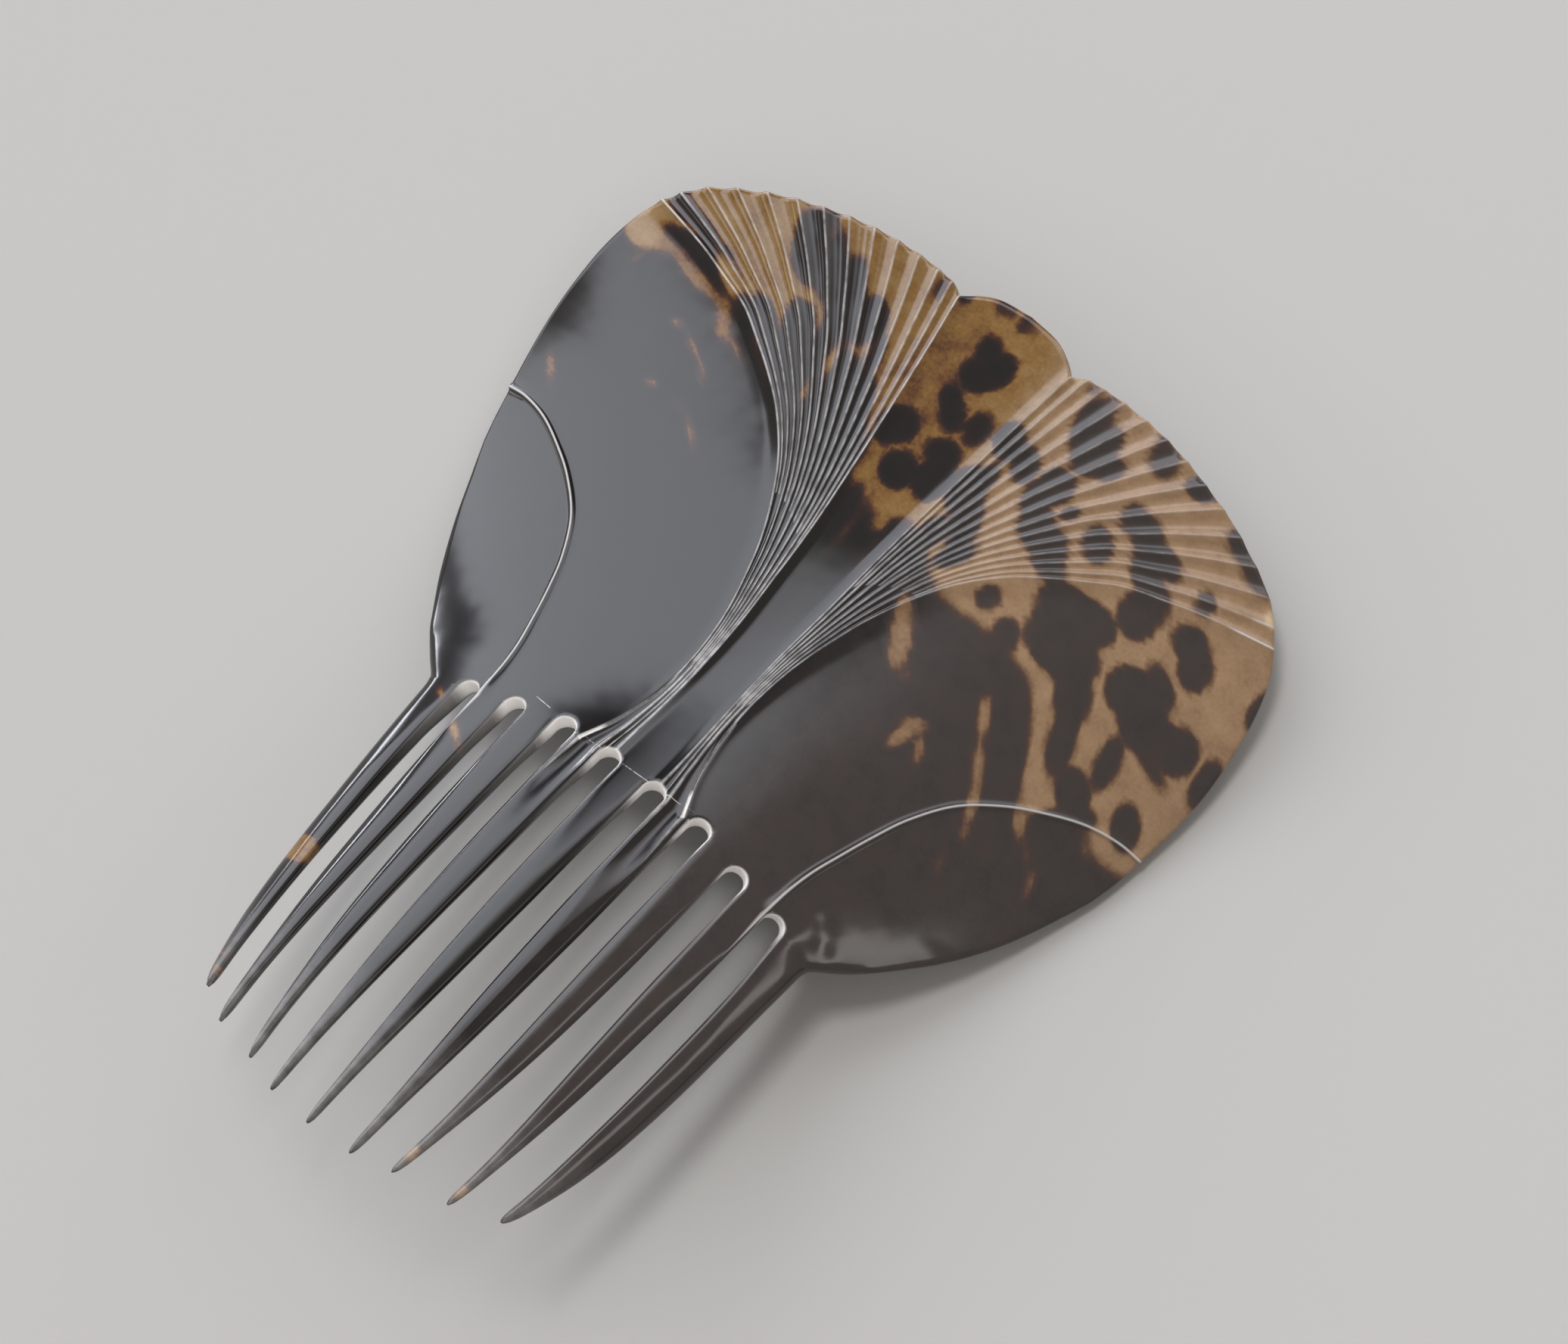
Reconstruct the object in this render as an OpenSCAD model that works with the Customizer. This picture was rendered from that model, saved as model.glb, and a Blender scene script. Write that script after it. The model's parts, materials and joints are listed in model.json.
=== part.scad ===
// A one-piece hair comb with a leaf-shaped head, nine teeth and a fan of flutes.
// It lies convex side up on its two lobes: X runs across, Y from the teeth to the
// head, Z up.
// The outline is laid out flat, u across and v along, in millimetres with v = 0
// at the ends of the middle slots, and is then bent to the arch.

/* [Outline] */

// width of the head, measured round the arch
head_w = 120; // [96:1:144]
// height of the head above the slots, measured round the bend
head_h = 83.2; // [66:0.5:100]
// length of the middle tooth, measured round the bend
tooth_l = 66.6; // [50:0.5:80]

/* [Teeth] */

// distance between the middles of two slots
slot_pitch = 8.05; // [7:0.05:9]
// width of a slot at its closed end
slot_w = 3.3; // [2.6:0.1:4]
// width of the outer tooth at its root
outer_root_w = 6; // [5:0.1:7]
// how far the outer teeth bow outwards
tooth_bow = 0.6; // [0:0.1:1.5]

/* [Thickness] */

// thickness at the ends of the slots
base_t = 3.4; // [2.6:0.1:4.2]
// thickness at the rim of the head
rim_t = 2.5; // [1.8:0.1:3.2]
// thickness near the tooth tips
tip_t = 1.7; // [1.2:0.1:2.4]
// how far the rim is eased over
rim_ease = 0.5; // [0.2:0.05:0.8]
// how far the front edges of the slots and teeth are eased
slot_ease = 0.4; // [0.1:0.05:0.7]

/* [Carving] */

// depth of a flute at the rim
flute_d = 0.85; // [0.3:0.05:1.2]
// height of the fan's ridges above the plain lobes
ridge_h = 0.45; // [0.2:0.05:0.7]
// height of the fine ridge that curves round each lower corner
arc_h = 0.35; // [0.15:0.05:0.6]

/* [Bend] */

// radius of the arch across the tooth tips
tip_r = 43; // [36:1:60]
// radius of the arch across the slot ends
slot_r = 72; // [60:1:90]
// radius of the arch across the top of the head
head_r = 390; // [250:10:600]
// bend along the teeth, downwards, in degrees
tooth_bend = 14; // [4:0.5:24]
// bend of the lower head, upwards, in degrees
neck_bend = 17.5; // [8:0.5:26]
// bend of the upper head, upwards, in degrees
top_bend = 2.3; // [-4:0.1:8]

/* [Hidden] */

tortoiseshell = [0.24, 0.12, 0.06];

// the outline tables are drawn for a head this wide and this high
ref_w = 120;
ref_h = 83.2;
neck_l = 45;

// [u, v] up the ridge between the middle leaf and the fan
inner_ridge = [[4.0, -0.2], [3.9, 4], [3.7, 10], [3.6, 17], [3.8, 25], [4.4, 33],
  [5.05, 42], [6.15, 52], [7.4, 62], [8.75, 72], [9.9, 79.6]];
// [u, v] up the S-shaped ridge between the fan and the plain lobe
outer_ridge = [[9.2, -2], [8.4, 0], [7.2, 3], [6.2, 7], [5.5, 11], [5.3, 16], [5.6, 21],
  [6.4, 26], [7.9, 31.5], [9.5, 36.2], [12.2, 41.8], [15.5, 47], [20, 51.9],
  [24.5, 55.4], [29.5, 58.6], [34, 61.2], [40, 63.2], [44.5, 64.6], [49.3, 65.7], [55, 66.9]];
// [u, v] up the fine ridge round the lower corner
corner_arc = [[26.1, -4.2], [26.3, 1], [26.9, 5], [28, 9], [29.5, 13.8], [31.5, 18.9],
  [35, 24.4], [40, 28.7], [45, 31.6], [50, 33.8], [55, 34.9], [59.1, 35]];
// [u, v] up the lower edge of the head, from the waist
lower_edge = [[36, -4.6], [40, -0.8], [45, 5], [49.3, 10.5], [53.2, 17], [56.3, 24], [57.7, 27.5]];
// [u, v] round the rim: middle lobe, fan, plain lobe, corner
rim_lobe = [[0, 83.2], [5, 82.6], [8, 81.2], [9.9, 79.6]];
rim_fan = [[9.9, 79.6], [11.5, 80.6], [13.5, 80.95], [18, 81.2], [24, 80.9], [30, 79.9],
  [35.5, 78.4], [40, 77], [44.7, 74.9], [48.5, 73], [52, 70.5], [55, 66.9]];
rim_side = [[55, 66.9], [57, 63.5], [58.7, 58], [59.6, 52], [60, 46], [59.8, 41], [59.1, 35]];
rim_corner = [[59.1, 35], [58.5, 31], [57.7, 27.5]];
// where each ridge of the fan meets the rim, as a share of the fan's rim
ridge_at = [0, 0.05, 0.105, 0.175, 0.253, 0.333, 0.416, 0.499, 0.584, 0.677, 0.769, 0.86, 0.942, 1];

// shares: [length, inner tooth's width, outer tooth's width, thickness left by the rounded end]
taper = [[0, 1, 1, 1], [0.1, 1.01, 0.94, 1], [0.2, 1.01, 0.9, 1], [0.32, 0.99, 0.88, 1],
  [0.44, 0.91, 0.86, 1], [0.56, 0.8, 0.81, 1], [0.67, 0.66, 0.74, 1], [0.77, 0.51, 0.63, 1],
  [0.86, 0.38, 0.48, 1], [0.93, 0.3, 0.35, 0.97], [0.975, 0.24, 0.25, 0.8], [1, 0.12, 0.11, 0.4]];
// [tip's u, tip's v, slot end's v beyond this tooth] from the middle tooth outwards
teeth = [[0, 0, -0.2], [7.15, 0.5, -0.1], [13.1, 2.2, -1.6], [21.6, 3.9, -2.6], [28.9, 7.1, -2.6]];

// rows from the slots to the rim, below and above the place where the fan opens out
rows_low = [0, 0.018, 0.045, 0.085, 0.14, 0.2, 0.27];
rows_high = [0.3, 0.36, 0.43, 0.51, 0.59, 0.67, 0.75, 0.83, 0.91, 0.98, 1];
// pull of the rim and of the slot ends on the rows between them
rim_pull = 2;
slot_pull = 14;

half_slot = slot_w / 2;
su = head_w / ref_w;
sv = head_h / ref_h;

// a smooth curve through a table's points, t from 0 to 1 by length
function reach(p, i = 0, sum = 0) =
  i == len(p) - 1 ? [sum] : concat([sum], reach(p, i + 1, sum + norm(p[i + 1] - p[i])));
function seat(c, s, i = 0) = i == len(c) - 2 || c[i + 1] > s ? i : seat(c, s, i + 1);
function slope(p, c, i) =
  let (a = max(i - 1, 0), b = min(i + 1, len(p) - 1)) (p[b] - p[a]) / (c[b] - c[a]);
function along(p, t) = let (
    c = reach(p),
    s = min(max(t, 0), 1) * c[len(c) - 1],
    i = seat(c, s),
    h = c[i + 1] - c[i],
    x = (s - c[i]) / h
  ) (2 * pow(x, 3) - 3 * x * x + 1) * p[i] + (pow(x, 3) - 2 * x * x + x) * h * slope(p, c, i)
    + (3 * x * x - 2 * pow(x, 3)) * p[i + 1] + (pow(x, 3) - x * x) * h * slope(p, c, i + 1);
function mix(a, b, t) = a + (b - a) * t;
function smooth(x) = let (t = min(max(x, 0), 1)) t * t * (3 - 2 * t);
function fit(p) = [p[0] * su, p[1] * sv];

// slot ends: k = 0..3 from the middle outwards
function slot_u(k) = (k + 0.5) * slot_pitch;
function slot_v(k) = teeth[k][2];
// the half-round end of slot k, a from 0 (inner side) to 180 (outer side)
function gullet(k, a) = [slot_u(k) - half_slot * cos(a), slot_v(k) - half_slot * (1 - sin(a))];
waist_u = slot_u(3) + half_slot + outer_root_w;
function root(u0, v0, u1, v1, n) = [for (i = [1:n]) [mix(u0, u1, i / n), mix(v0, v1, i / n)]];
function edge_in(k) = gullet(k, 0);
function edge_out(k) = gullet(k, 180);
waist = [waist_u, -4.6];

// base points of the four patches, from the middle outwards
base_leaf = concat([[0, edge_in(0)[1]], [edge_in(0)[0] / 2, edge_in(0)[1]]],
  [for (a = [0, 30, 60, 90]) gullet(0, a)]);
base_fan = concat([for (a = [90, 120, 150, 180]) gullet(0, a)],
  root(edge_out(0)[0], edge_out(0)[1], 9.2, edge_in(1)[1], 3));
base_side = concat([[9.2, edge_in(1)[1]]], [for (a = [0:30:180]) gullet(1, a)],
  root(edge_out(1)[0], edge_out(1)[1], edge_in(2)[0], edge_in(2)[1], 4),
  [for (a = [30:30:180]) gullet(2, a)],
  root(edge_out(2)[0], edge_out(2)[1], 26.1, edge_in(3)[1], 3));
base_corner = concat([[26.1, edge_in(3)[1]]], [for (a = [0:30:180]) gullet(3, a)],
  root(edge_out(3)[0], edge_out(3)[1], waist[0], waist[1], 4));

// shares across each patch, at the rim
share_leaf = [0, 0.24, 0.46, 0.64, 0.88, 1];
share_low = [0, 1 / 6, 1 / 3, 0.5, 2 / 3, 5 / 6, 1];
share_high = [for (i = [0:len(ridge_at) - 2]) each [ridge_at[i], (ridge_at[i] + ridge_at[i + 1]) / 2], 1];
share_side = [0, 0.035, 0.08, 0.13, 0.185, 0.24, 0.295, 0.35, 0.405, 0.46, 0.515, 0.57, 0.625,
  0.68, 0.735, 0.79, 0.84, 0.89, 0.93, 0.965, 1];
share_corner = [0, 0.06, 0.14, 0.23, 0.33, 0.43, 0.54, 0.65, 0.75, 0.85, 0.94, 1];

// a point of a patch between two curves a and b, its rim and its base point
function patch(a, b, rim, base_pt, base_a, base_b, s, w) = let (
    left = fit(along(a, s)), right = fit(along(b, s)),
    rim_gap = fit(along(rim, w)) - mix(fit(a[len(a) - 1]), fit(b[len(b) - 1]), w),
    base_gap = base_pt - mix(fit(a[0]), fit(b[0]), w)
  ) mix(left, right, w) + rim_gap * pow(s, rim_pull) + base_gap * pow(1 - s, slot_pull);
axis_line = [[0, -2], [0, 20], [0, 50], [0, 83.2]];

// relief of the front above the plain surface
function ridge_top(s) = ridge_h * (0.35 + 0.65 * smooth((s - 0.1) / 0.3));
function flute_deep(s) = flute_d * smooth((s - 0.22) / 0.35) * (0.55 + 0.45 * s);
function eased(s, w_out) = -rim_ease * (s > 0.995 ? 1 : 0);
function low_ease(s) = -slot_ease * (s < 0.001 ? 1 : 0);

// one row of the front: list of [u, v, h] from the middle outwards
function row_leaf(s) = [for (i = [0:4])
  let (q = patch(axis_line, inner_ridge, rim_lobe, base_leaf[i], 0, 0, s, share_leaf[i]))
  [q[0], q[1], (i == 4 ? 0.25 : 0) * ridge_top(s) - 0.15 * (1 - share_leaf[i]) * smooth(s * 3)
    + eased(s) + (i >= 2 ? low_ease(s) : 0)]];
function row_fan_low(s) = [for (i = [0:5])
  let (q = patch(inner_ridge, outer_ridge, rim_fan, base_fan[i], 0, 0, s, share_low[i]))
  [q[0], q[1], (i == 0 ? 1 : 0.6) * ridge_top(s) + (i <= 3 ? low_ease(s) : 0)]];
function row_fan_high(s) = [for (i = [0:len(share_high) - 2])
  let (q = patch(inner_ridge, outer_ridge, rim_fan, base_fan[0], 0, 0, s, share_high[i]))
  [q[0], q[1], ridge_top(s) - (i % 2 == 1 ? flute_deep(s) : 0) + eased(s)]];
function row_side(s) = [for (i = [0:19])
  let (q = patch(outer_ridge, corner_arc, rim_side, base_side[i], 0, 0, s, share_side[i]))
  [q[0], q[1], (i == 0 ? 1 : i == 1 ? 0.2 : 0) * ridge_top(s) + eased(s)
    + ((i >= 1 && i <= 7) || (i >= 11 && i <= 17) ? low_ease(s) : 0)]];
function row_corner(s) = [for (i = [0:11])
  let (q = patch(corner_arc, lower_edge, rim_corner, base_corner[i], 0, 0, s, share_corner[i]))
  [q[0], q[1], (i == 0 ? arc_h : -0.1) * smooth((s + 0.02) / 0.05) + eased(s)
    + (i == 11 && s < 0.995 ? -rim_ease : 0)
    + (i >= 1 && i <= 7 ? low_ease(s) : 0)]];
function half_low(s) = concat(row_leaf(s), row_fan_low(s), row_side(s), row_corner(s));
function half_high(s) = concat(row_leaf(s), row_fan_high(s), row_side(s), row_corner(s));
// the whole row, mirrored about the middle
function whole(half) = concat([for (i = [len(half) - 1:-1:1]) [-half[i][0], half[i][1], half[i][2]]], half);

// thickness along the length
function thick(v) = v < 0 ? base_t : mix(base_t, rim_t, smooth(v / sv / 70));

// the bent surface
function arch_r(v) = let (
    a = ln(tip_r), b = ln(slot_r), c = ln(head_r),
    q = ((c - b) / 80 - (b - a) / 65) / 145,
    k = (b - a) / 65 + 65 * q
  ) exp(b + k * v + q * v * v);
function run_y(v, bend, len0, from) = let (k = bend / len0)
  abs(k) < 0.0001 ? v * cos(from) : (sin(from + k * v) - sin(from)) / (k * PI / 180);
function run_z(v, bend, len0, from) = let (k = bend / len0)
  abs(k) < 0.0001 ? v * sin(from) : (cos(from) - cos(from + k * v)) / (k * PI / 180);
// [y, z, rise angle] of the middle line at v
function spine(v) = v < 0
  ? [run_y(v, -tooth_bend, 70, 0), run_z(v, -tooth_bend, 70, 0), -tooth_bend * v / 70]
  : v < neck_l
  ? [run_y(v, neck_bend, neck_l, 0), run_z(v, neck_bend, neck_l, 0), neck_bend * v / neck_l]
  : [run_y(neck_l, neck_bend, neck_l, 0) + run_y(v - neck_l, top_bend, 38, neck_bend),
     run_z(neck_l, neck_bend, neck_l, 0) + run_z(v - neck_l, top_bend, 38, neck_bend),
     neck_bend + top_bend * (v - neck_l) / 38];
function skin(u, v) = let (
    c = spine(v), r = arch_r(v), a = u / r * 180 / PI, d = r * (1 - cos(a))
  ) [r * sin(a), c[0] + d * sin(c[2]), c[1] - d * cos(c[2])];
function up(u, v) = let (
    n = cross(skin(u + 0.5, v) - skin(u - 0.5, v), skin(u, v + 0.5) - skin(u, v - 0.5))
  ) n / norm(n);
function bent(p) = skin(p[0], p[1]) + p[2] * up(p[0], p[1]);

// columns of a row, counted from the middle: the slots and the teeth
slots_at = [[2, 8], [12, 18], [22, 28], [32, 38]];
teeth_at = [[-2, 2], [8, 12], [18, 22], [28, 32], [38, 42]];
low_n = 42;
high_n = 62;

// the back follows the plain surface; its slot ends sit a little further down
function lean(k) = let (
    m = abs(k),
    f = [for (g = slots_at) if (m > g[0] && m < g[1]) sin(30 * (m - g[0]))]
  ) len(f) > 0 ? 0.6 * f[0] : 0;
function back_half(s) = concat(
  [for (p = row_leaf(s)) p],
  [for (i = [0:5]) patch(inner_ridge, outer_ridge, rim_fan, base_fan[i], 0, 0, s, share_low[i])],
  [for (p = row_side(s)) p],
  [for (p = row_corner(s)) p]);
function back_row(s) = let (row = whole(back_half(s)))
  [for (i = [0:len(row) - 1])
    [row[i][0], row[i][1] - (s < 0.001 ? lean(i - low_n) : 0), -thick(row[i][1])]];

front_low = [for (s = rows_low) whole(half_low(s))];
front_high = [for (s = rows_high) whole(half_high(s))];
back_all = [for (s = concat(rows_low, rows_high)) back_row(s)];

// rings of a tooth: five points on the front, five on the back
function tooth_centre(t, x0, side, d) = let (tip = teeth[t][0] * side)
  mix(x0, tip, pow(d, 3.6)) + (t == 4 ? side * tooth_bow * 4 * d * (1 - d) : 0);
function ring(t, side, d, w_share, end) = let (
    k0 = side > 0 ? teeth_at[t][0] : -teeth_at[t][1],
    root_pts = [for (j = [0:4]) front_low[0][low_n + k0 + j]],
    x0 = (root_pts[0][0] + root_pts[4][0]) / 2,
    half_w = (root_pts[4][0] - root_pts[0][0]) / 2,
    tip_v = -tooth_l + teeth[t][1],
    uc = tooth_centre(t, x0, side, d),
    full = mix(base_t, tip_t, smooth(d * 1.05)),
    th = full * end,
    top = (th - full) / 2,
    settle = smooth(d / 0.15),
    x = [for (j = [0:4]) mix((root_pts[j][0] - x0) / half_w, (j - 2) / 2, settle)]
  ) concat(
    [for (j = [0:4]) [uc + x[j] * half_w * w_share, mix(root_pts[j][1], tip_v, d),
      mix(root_pts[j][2], top - 0.3 * th * pow(abs(j - 2) / 2, 2.2), settle)]],
    [for (j = [4:-1:0]) [uc + x[j] * half_w * w_share * mix(1, 0.9, settle), mix(root_pts[j][1], tip_v, d),
      mix(-thick(root_pts[j][1]), top - th + 0.2 * th * pow(abs(j - 2) / 2, 2.2), settle)]]);
tooth_list = [[0, 1], [1, 1], [2, 1], [3, 1], [4, 1], [1, -1], [2, -1], [3, -1], [4, -1]];
rings = [for (n = tooth_list) each [for (i = [1:len(taper) - 1])
  let (row = taper[i])
  ring(n[0], n[1], row[0], n[0] == 4 ? row[2] : row[1], row[3])]];

function flat(list) = [for (l = list) each l];
points = [for (p = concat(flat(front_low), flat(front_high), flat(back_all), flat(rings))) bent(p)];

// index of a point: row r, column k
low_w = 2 * low_n + 1;
high_w = 2 * high_n + 1;
high_from = len(rows_low) * low_w;
back_from = high_from + len(rows_high) * high_w;
teeth_from = back_from + len(back_all) * low_w;
function fl(r, k) = r * low_w + low_n + k;
function fh(r, k) = high_from + r * high_w + high_n + k;
function bk(r, k) = back_from + r * low_w + low_n + k;

// triangles between two lines of points, which may differ in number
function zip(a, b, i = 0, j = 0) =
  i == len(a) - 1 && j == len(b) - 1 ? []
  : j == len(b) - 1 || (i < len(a) - 1 && (i + 1) / (len(a) - 1) <= (j + 1) / (len(b) - 1))
  ? concat([[a[i], a[i + 1], b[j]]], zip(a, b, i + 1, j))
  : concat([[a[i], b[j + 1], b[j]]], zip(a, b, i, j + 1));
function flip(tris) = [for (t = tris) [t[0], t[2], t[1]]];
function strip(a, b) = [for (i = [0:len(a) - 2]) each [[a[i], a[i + 1], b[i]], [a[i + 1], b[i + 1], b[i]]]];

// ranges of columns that match between a coarse row and a fine one
pairs = [[-42, -11, -62, -31], [-11, -5, -31, -5], [-5, 5, -5, 5], [5, 11, 5, 31], [11, 42, 31, 62]];
last_low = len(rows_low) - 1;
last_high = len(rows_high) - 1;
last_back = len(back_all) - 1;
front_faces = concat(
  [for (r = [0:last_low - 1]) each strip([for (k = [-low_n:low_n]) fl(r, k)], [for (k = [-low_n:low_n]) fl(r + 1, k)])],
  [for (p = pairs) each zip([for (k = [p[0]:p[1]]) fl(last_low, k)], [for (k = [p[2]:p[3]]) fh(0, k)])],
  [for (r = [0:last_high - 1]) each strip([for (k = [-high_n:high_n]) fh(r, k)], [for (k = [-high_n:high_n]) fh(r + 1, k)])]);
back_faces = [for (r = [0:last_back - 1])
  each strip([for (k = [-low_n:low_n]) bk(r, k)], [for (k = [-low_n:low_n]) bk(r + 1, k)])];
rim_faces = [for (p = pairs)
  each zip([for (k = [p[0]:p[1]]) bk(last_back, k)], [for (k = [p[2]:p[3]]) fh(last_high, k)])];
function side_line(k) = concat([for (r = [0:last_low]) fl(r, k * low_n)], [for (r = [0:last_high]) fh(r, k * high_n)]);
function side_faces(k) = strip([for (r = [0:last_back]) bk(r, k * low_n)], side_line(k));
gullet_faces = [for (g = slots_at) each concat(
  strip([for (k = [g[0]:g[1]]) fl(0, k)], [for (k = [g[0]:g[1]]) bk(0, k)]),
  strip([for (k = [-g[1]:-g[0]]) fl(0, k)], [for (k = [-g[1]:-g[0]]) bk(0, k)]))];

// a tooth's rings run front left to right, then back right to left
n_rings = len(taper) - 1;
function ring_ids(n, i) = let (
    t = tooth_list[n],
    k0 = t[1] > 0 ? teeth_at[t[0]][0] : -teeth_at[t[0]][1]
  ) i == 0
  ? concat([for (j = [0:4]) fl(0, k0 + j)], [for (j = [4:-1:0]) bk(0, k0 + j)])
  : [for (j = [0:9]) teeth_from + (n * n_rings + i - 1) * 10 + j];
function closed(ids) = concat(ids, [ids[0]]);
teeth_faces = [for (n = [0:len(tooth_list) - 1]) each concat(
  [for (i = [0:n_rings - 1]) each strip(closed(ring_ids(n, i)), closed(ring_ids(n, i + 1)))],
  let (e = ring_ids(n, n_rings)) [for (j = [1:8]) [e[0], e[j], e[j + 1]]])];

faces = concat(flip(front_faces), back_faces, rim_faces, flip(side_faces(1)), side_faces(-1),
  gullet_faces, teeth_faces);

// the comb lies on the lower edges of its two lobes, with the teeth in the air:
// it rocks there until its centre of mass is as low as it can be
parts = [for (f = faces) points[f[0]] * cross(points[f[1]], points[f[2]])];
centroid = parts * [for (f = faces) points[f[0]] + points[f[1]] + points[f[2]]]
  / (4 * parts * [for (f = faces) 1]);
rocker = [for (p = points) if (p[0] > 30 && p[1] > 0) p];
function lift(tilt) = max([for (p = rocker) (centroid - p) * [0, -sin(tilt), cos(tilt)]]);
tilts = [0:0.1:40];
lowest = min([for (tilt = tilts) lift(tilt)]);
rest_tilt = [for (tilt = tilts) if (lift(tilt) == lowest) tilt][0];
function settled(p) = [p[0], p[1] * cos(rest_tilt) + p[2] * sin(rest_tilt),
  -p[1] * sin(rest_tilt) + p[2] * cos(rest_tilt)];
resting = [for (p = points) settled(p)];
floor_z = min([for (p = resting) p[2]]);
mid_y = (min([for (p = resting) p[1]]) + max([for (p = resting) p[1]])) / 2;

module comb() {
  color(tortoiseshell)
    translate([0, -mid_y, -floor_z])
      polyhedron(points = resting, faces = faces, convexity = 10);
}

comb();
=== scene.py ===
import json
import math

import bmesh
import bpy
from mathutils import Matrix, Vector, kdtree

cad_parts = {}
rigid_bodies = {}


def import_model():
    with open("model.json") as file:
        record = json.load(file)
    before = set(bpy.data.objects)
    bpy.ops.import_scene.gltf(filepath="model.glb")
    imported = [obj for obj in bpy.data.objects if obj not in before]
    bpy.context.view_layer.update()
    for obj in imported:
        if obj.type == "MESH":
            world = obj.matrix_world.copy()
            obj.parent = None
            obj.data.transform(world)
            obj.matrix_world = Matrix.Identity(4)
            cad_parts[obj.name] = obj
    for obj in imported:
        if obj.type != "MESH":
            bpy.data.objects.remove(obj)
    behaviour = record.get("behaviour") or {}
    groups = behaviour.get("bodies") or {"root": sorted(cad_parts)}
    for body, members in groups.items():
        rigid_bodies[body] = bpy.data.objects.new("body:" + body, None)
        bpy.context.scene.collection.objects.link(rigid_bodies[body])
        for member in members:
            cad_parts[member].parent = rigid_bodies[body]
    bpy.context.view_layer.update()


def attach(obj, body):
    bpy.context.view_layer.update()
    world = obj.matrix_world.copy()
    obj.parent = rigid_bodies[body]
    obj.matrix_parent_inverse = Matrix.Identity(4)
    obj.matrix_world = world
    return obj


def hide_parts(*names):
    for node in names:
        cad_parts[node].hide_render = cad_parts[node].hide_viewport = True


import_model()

# the comb, in millimetres, its slopes as ratios: what a user would change
comb = {
    "toothLength": 66.6,
    "slotPitch": 8.05,
    "slotWidth": 3.3,
    "outerRoot": 6.0,
    "toothBow": 0.6,
    "baseThickness": 3.4,
    "rimThickness": 2.5,
    "tipThickness": 1.7,
    "fluteDepth": 0.85,
    "fluteSteepness": 0.2,
    "ridgeHeight": 0.45,
    "ridgeCrest": 0.24,
    "arcHeight": 0.35,
    "rimScallop": 0.12,
    "rimEase": 0.5,
    "slotEase": 0.4,
    "toothEase": 0.45,
    "shoulderEase": 1.2,
    "shoulderFacet": 0.9,
    "facetSlope": 0.06,
    "backEase": 1.3,
    "waistFillet": 0.38,
    "flankSlope": 0.33,
    "flankHollow": 0.2,
}

# the guide curves of the right half, laid out flat: u across, v along
innerRidge = [
    (4.0, -0.2), (3.9, 4), (3.7, 10), (3.6, 17), (3.8, 25), (4.4, 33),
    (5.05, 42), (6.15, 52), (7.4, 62), (8.75, 72), (9.9, 79.6),
]
outerRidge = [
    (9.2, -2), (8.4, 0), (7.2, 3), (6.2, 7), (5.5, 11), (5.3, 16), (5.6, 21), (6.4, 26),
    (7.9, 31.5), (9.5, 36.2), (12.2, 41.8), (15.5, 47), (20, 51.9), (24.5, 55.4),
    (29.5, 58.6), (34, 61.2), (40, 63.2), (44.5, 64.6), (49.3, 65.7), (55, 66.9),
]
cornerArc = [
    (26.1, -4.2), (26.3, 1), (26.9, 5), (28, 9), (29.5, 13.8), (31.5, 18.9),
    (35, 24.4), (40, 28.7), (45, 31.6), (50, 33.8), (55, 34.9), (59.1, 35),
]
lowerEdge = [(36, -4.6), (40, -0.8), (45, 5), (49.3, 10.5), (53.2, 17), (56.3, 24), (57.7, 27.5)]
middleLine = [(0, -2), (0, 20), (0, 50), (0, 83.2)]
rimLobe = [(0, 83.2), (5, 82.6), (8, 81.2), (9.9, 79.6)]
rimFan = [
    (9.9, 79.6), (11.5, 80.6), (13.5, 80.95), (18, 81.2), (24, 80.9), (30, 79.9),
    (35.5, 78.4), (40, 77), (44.7, 74.9), (48.5, 73), (52, 70.5), (55, 66.9),
]
rimSide = [(55, 66.9), (57, 63.5), (58.7, 58), (59.6, 52), (60, 46), (59.8, 41), (59.1, 35)]
rimCorner = [(59.1, 35), (58.5, 31), (57.7, 27.5)]

# where the fan's ridges meet its rim, and which of them reach the middle and the roots
ridgeAt = [0, 0.05, 0.105, 0.175, 0.253, 0.333, 0.416, 0.5, 0.584, 0.677, 0.769, 0.86, 0.942, 1]
longRidges = [0, 2, 4, 6, 8, 10, 13]
rootRidges = [0, 4, 8, 13]
middleRidge = 7

# share of the length, inner tooth's width, outer tooth's width, thickness
taper = [
    (0, 1, 1, 1), (0.1, 1.01, 0.94, 1), (0.2, 1.01, 0.9, 1), (0.32, 0.99, 0.88, 1),
    (0.44, 0.91, 0.86, 1), (0.56, 0.8, 0.81, 1), (0.67, 0.66, 0.74, 1), (0.77, 0.51, 0.63, 1),
    (0.86, 0.38, 0.48, 1), (0.93, 0.3, 0.35, 0.97), (0.975, 0.24, 0.25, 0.8), (1, 0.12, 0.11, 0.4),
]
# tip's u, tip's v above the middle tip, slot end's v beyond the tooth, middle tooth outwards
teeth = [(0, 0, -0.2), (7.15, 0.5, -0.1), (13.1, 2.2, -1.6), (21.6, 3.9, -2.6), (28.9, 7.1, -2.6)]

halfSlot = comb["slotWidth"] / 2
waist = (3.5 * comb["slotPitch"] + halfSlot + comb["outerRoot"], -4.6)
rimPull = 2  # a low power lets the rim's shape reach far into the head
slotPull = 14  # a high one keeps the slots' shape close to the slots

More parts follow.
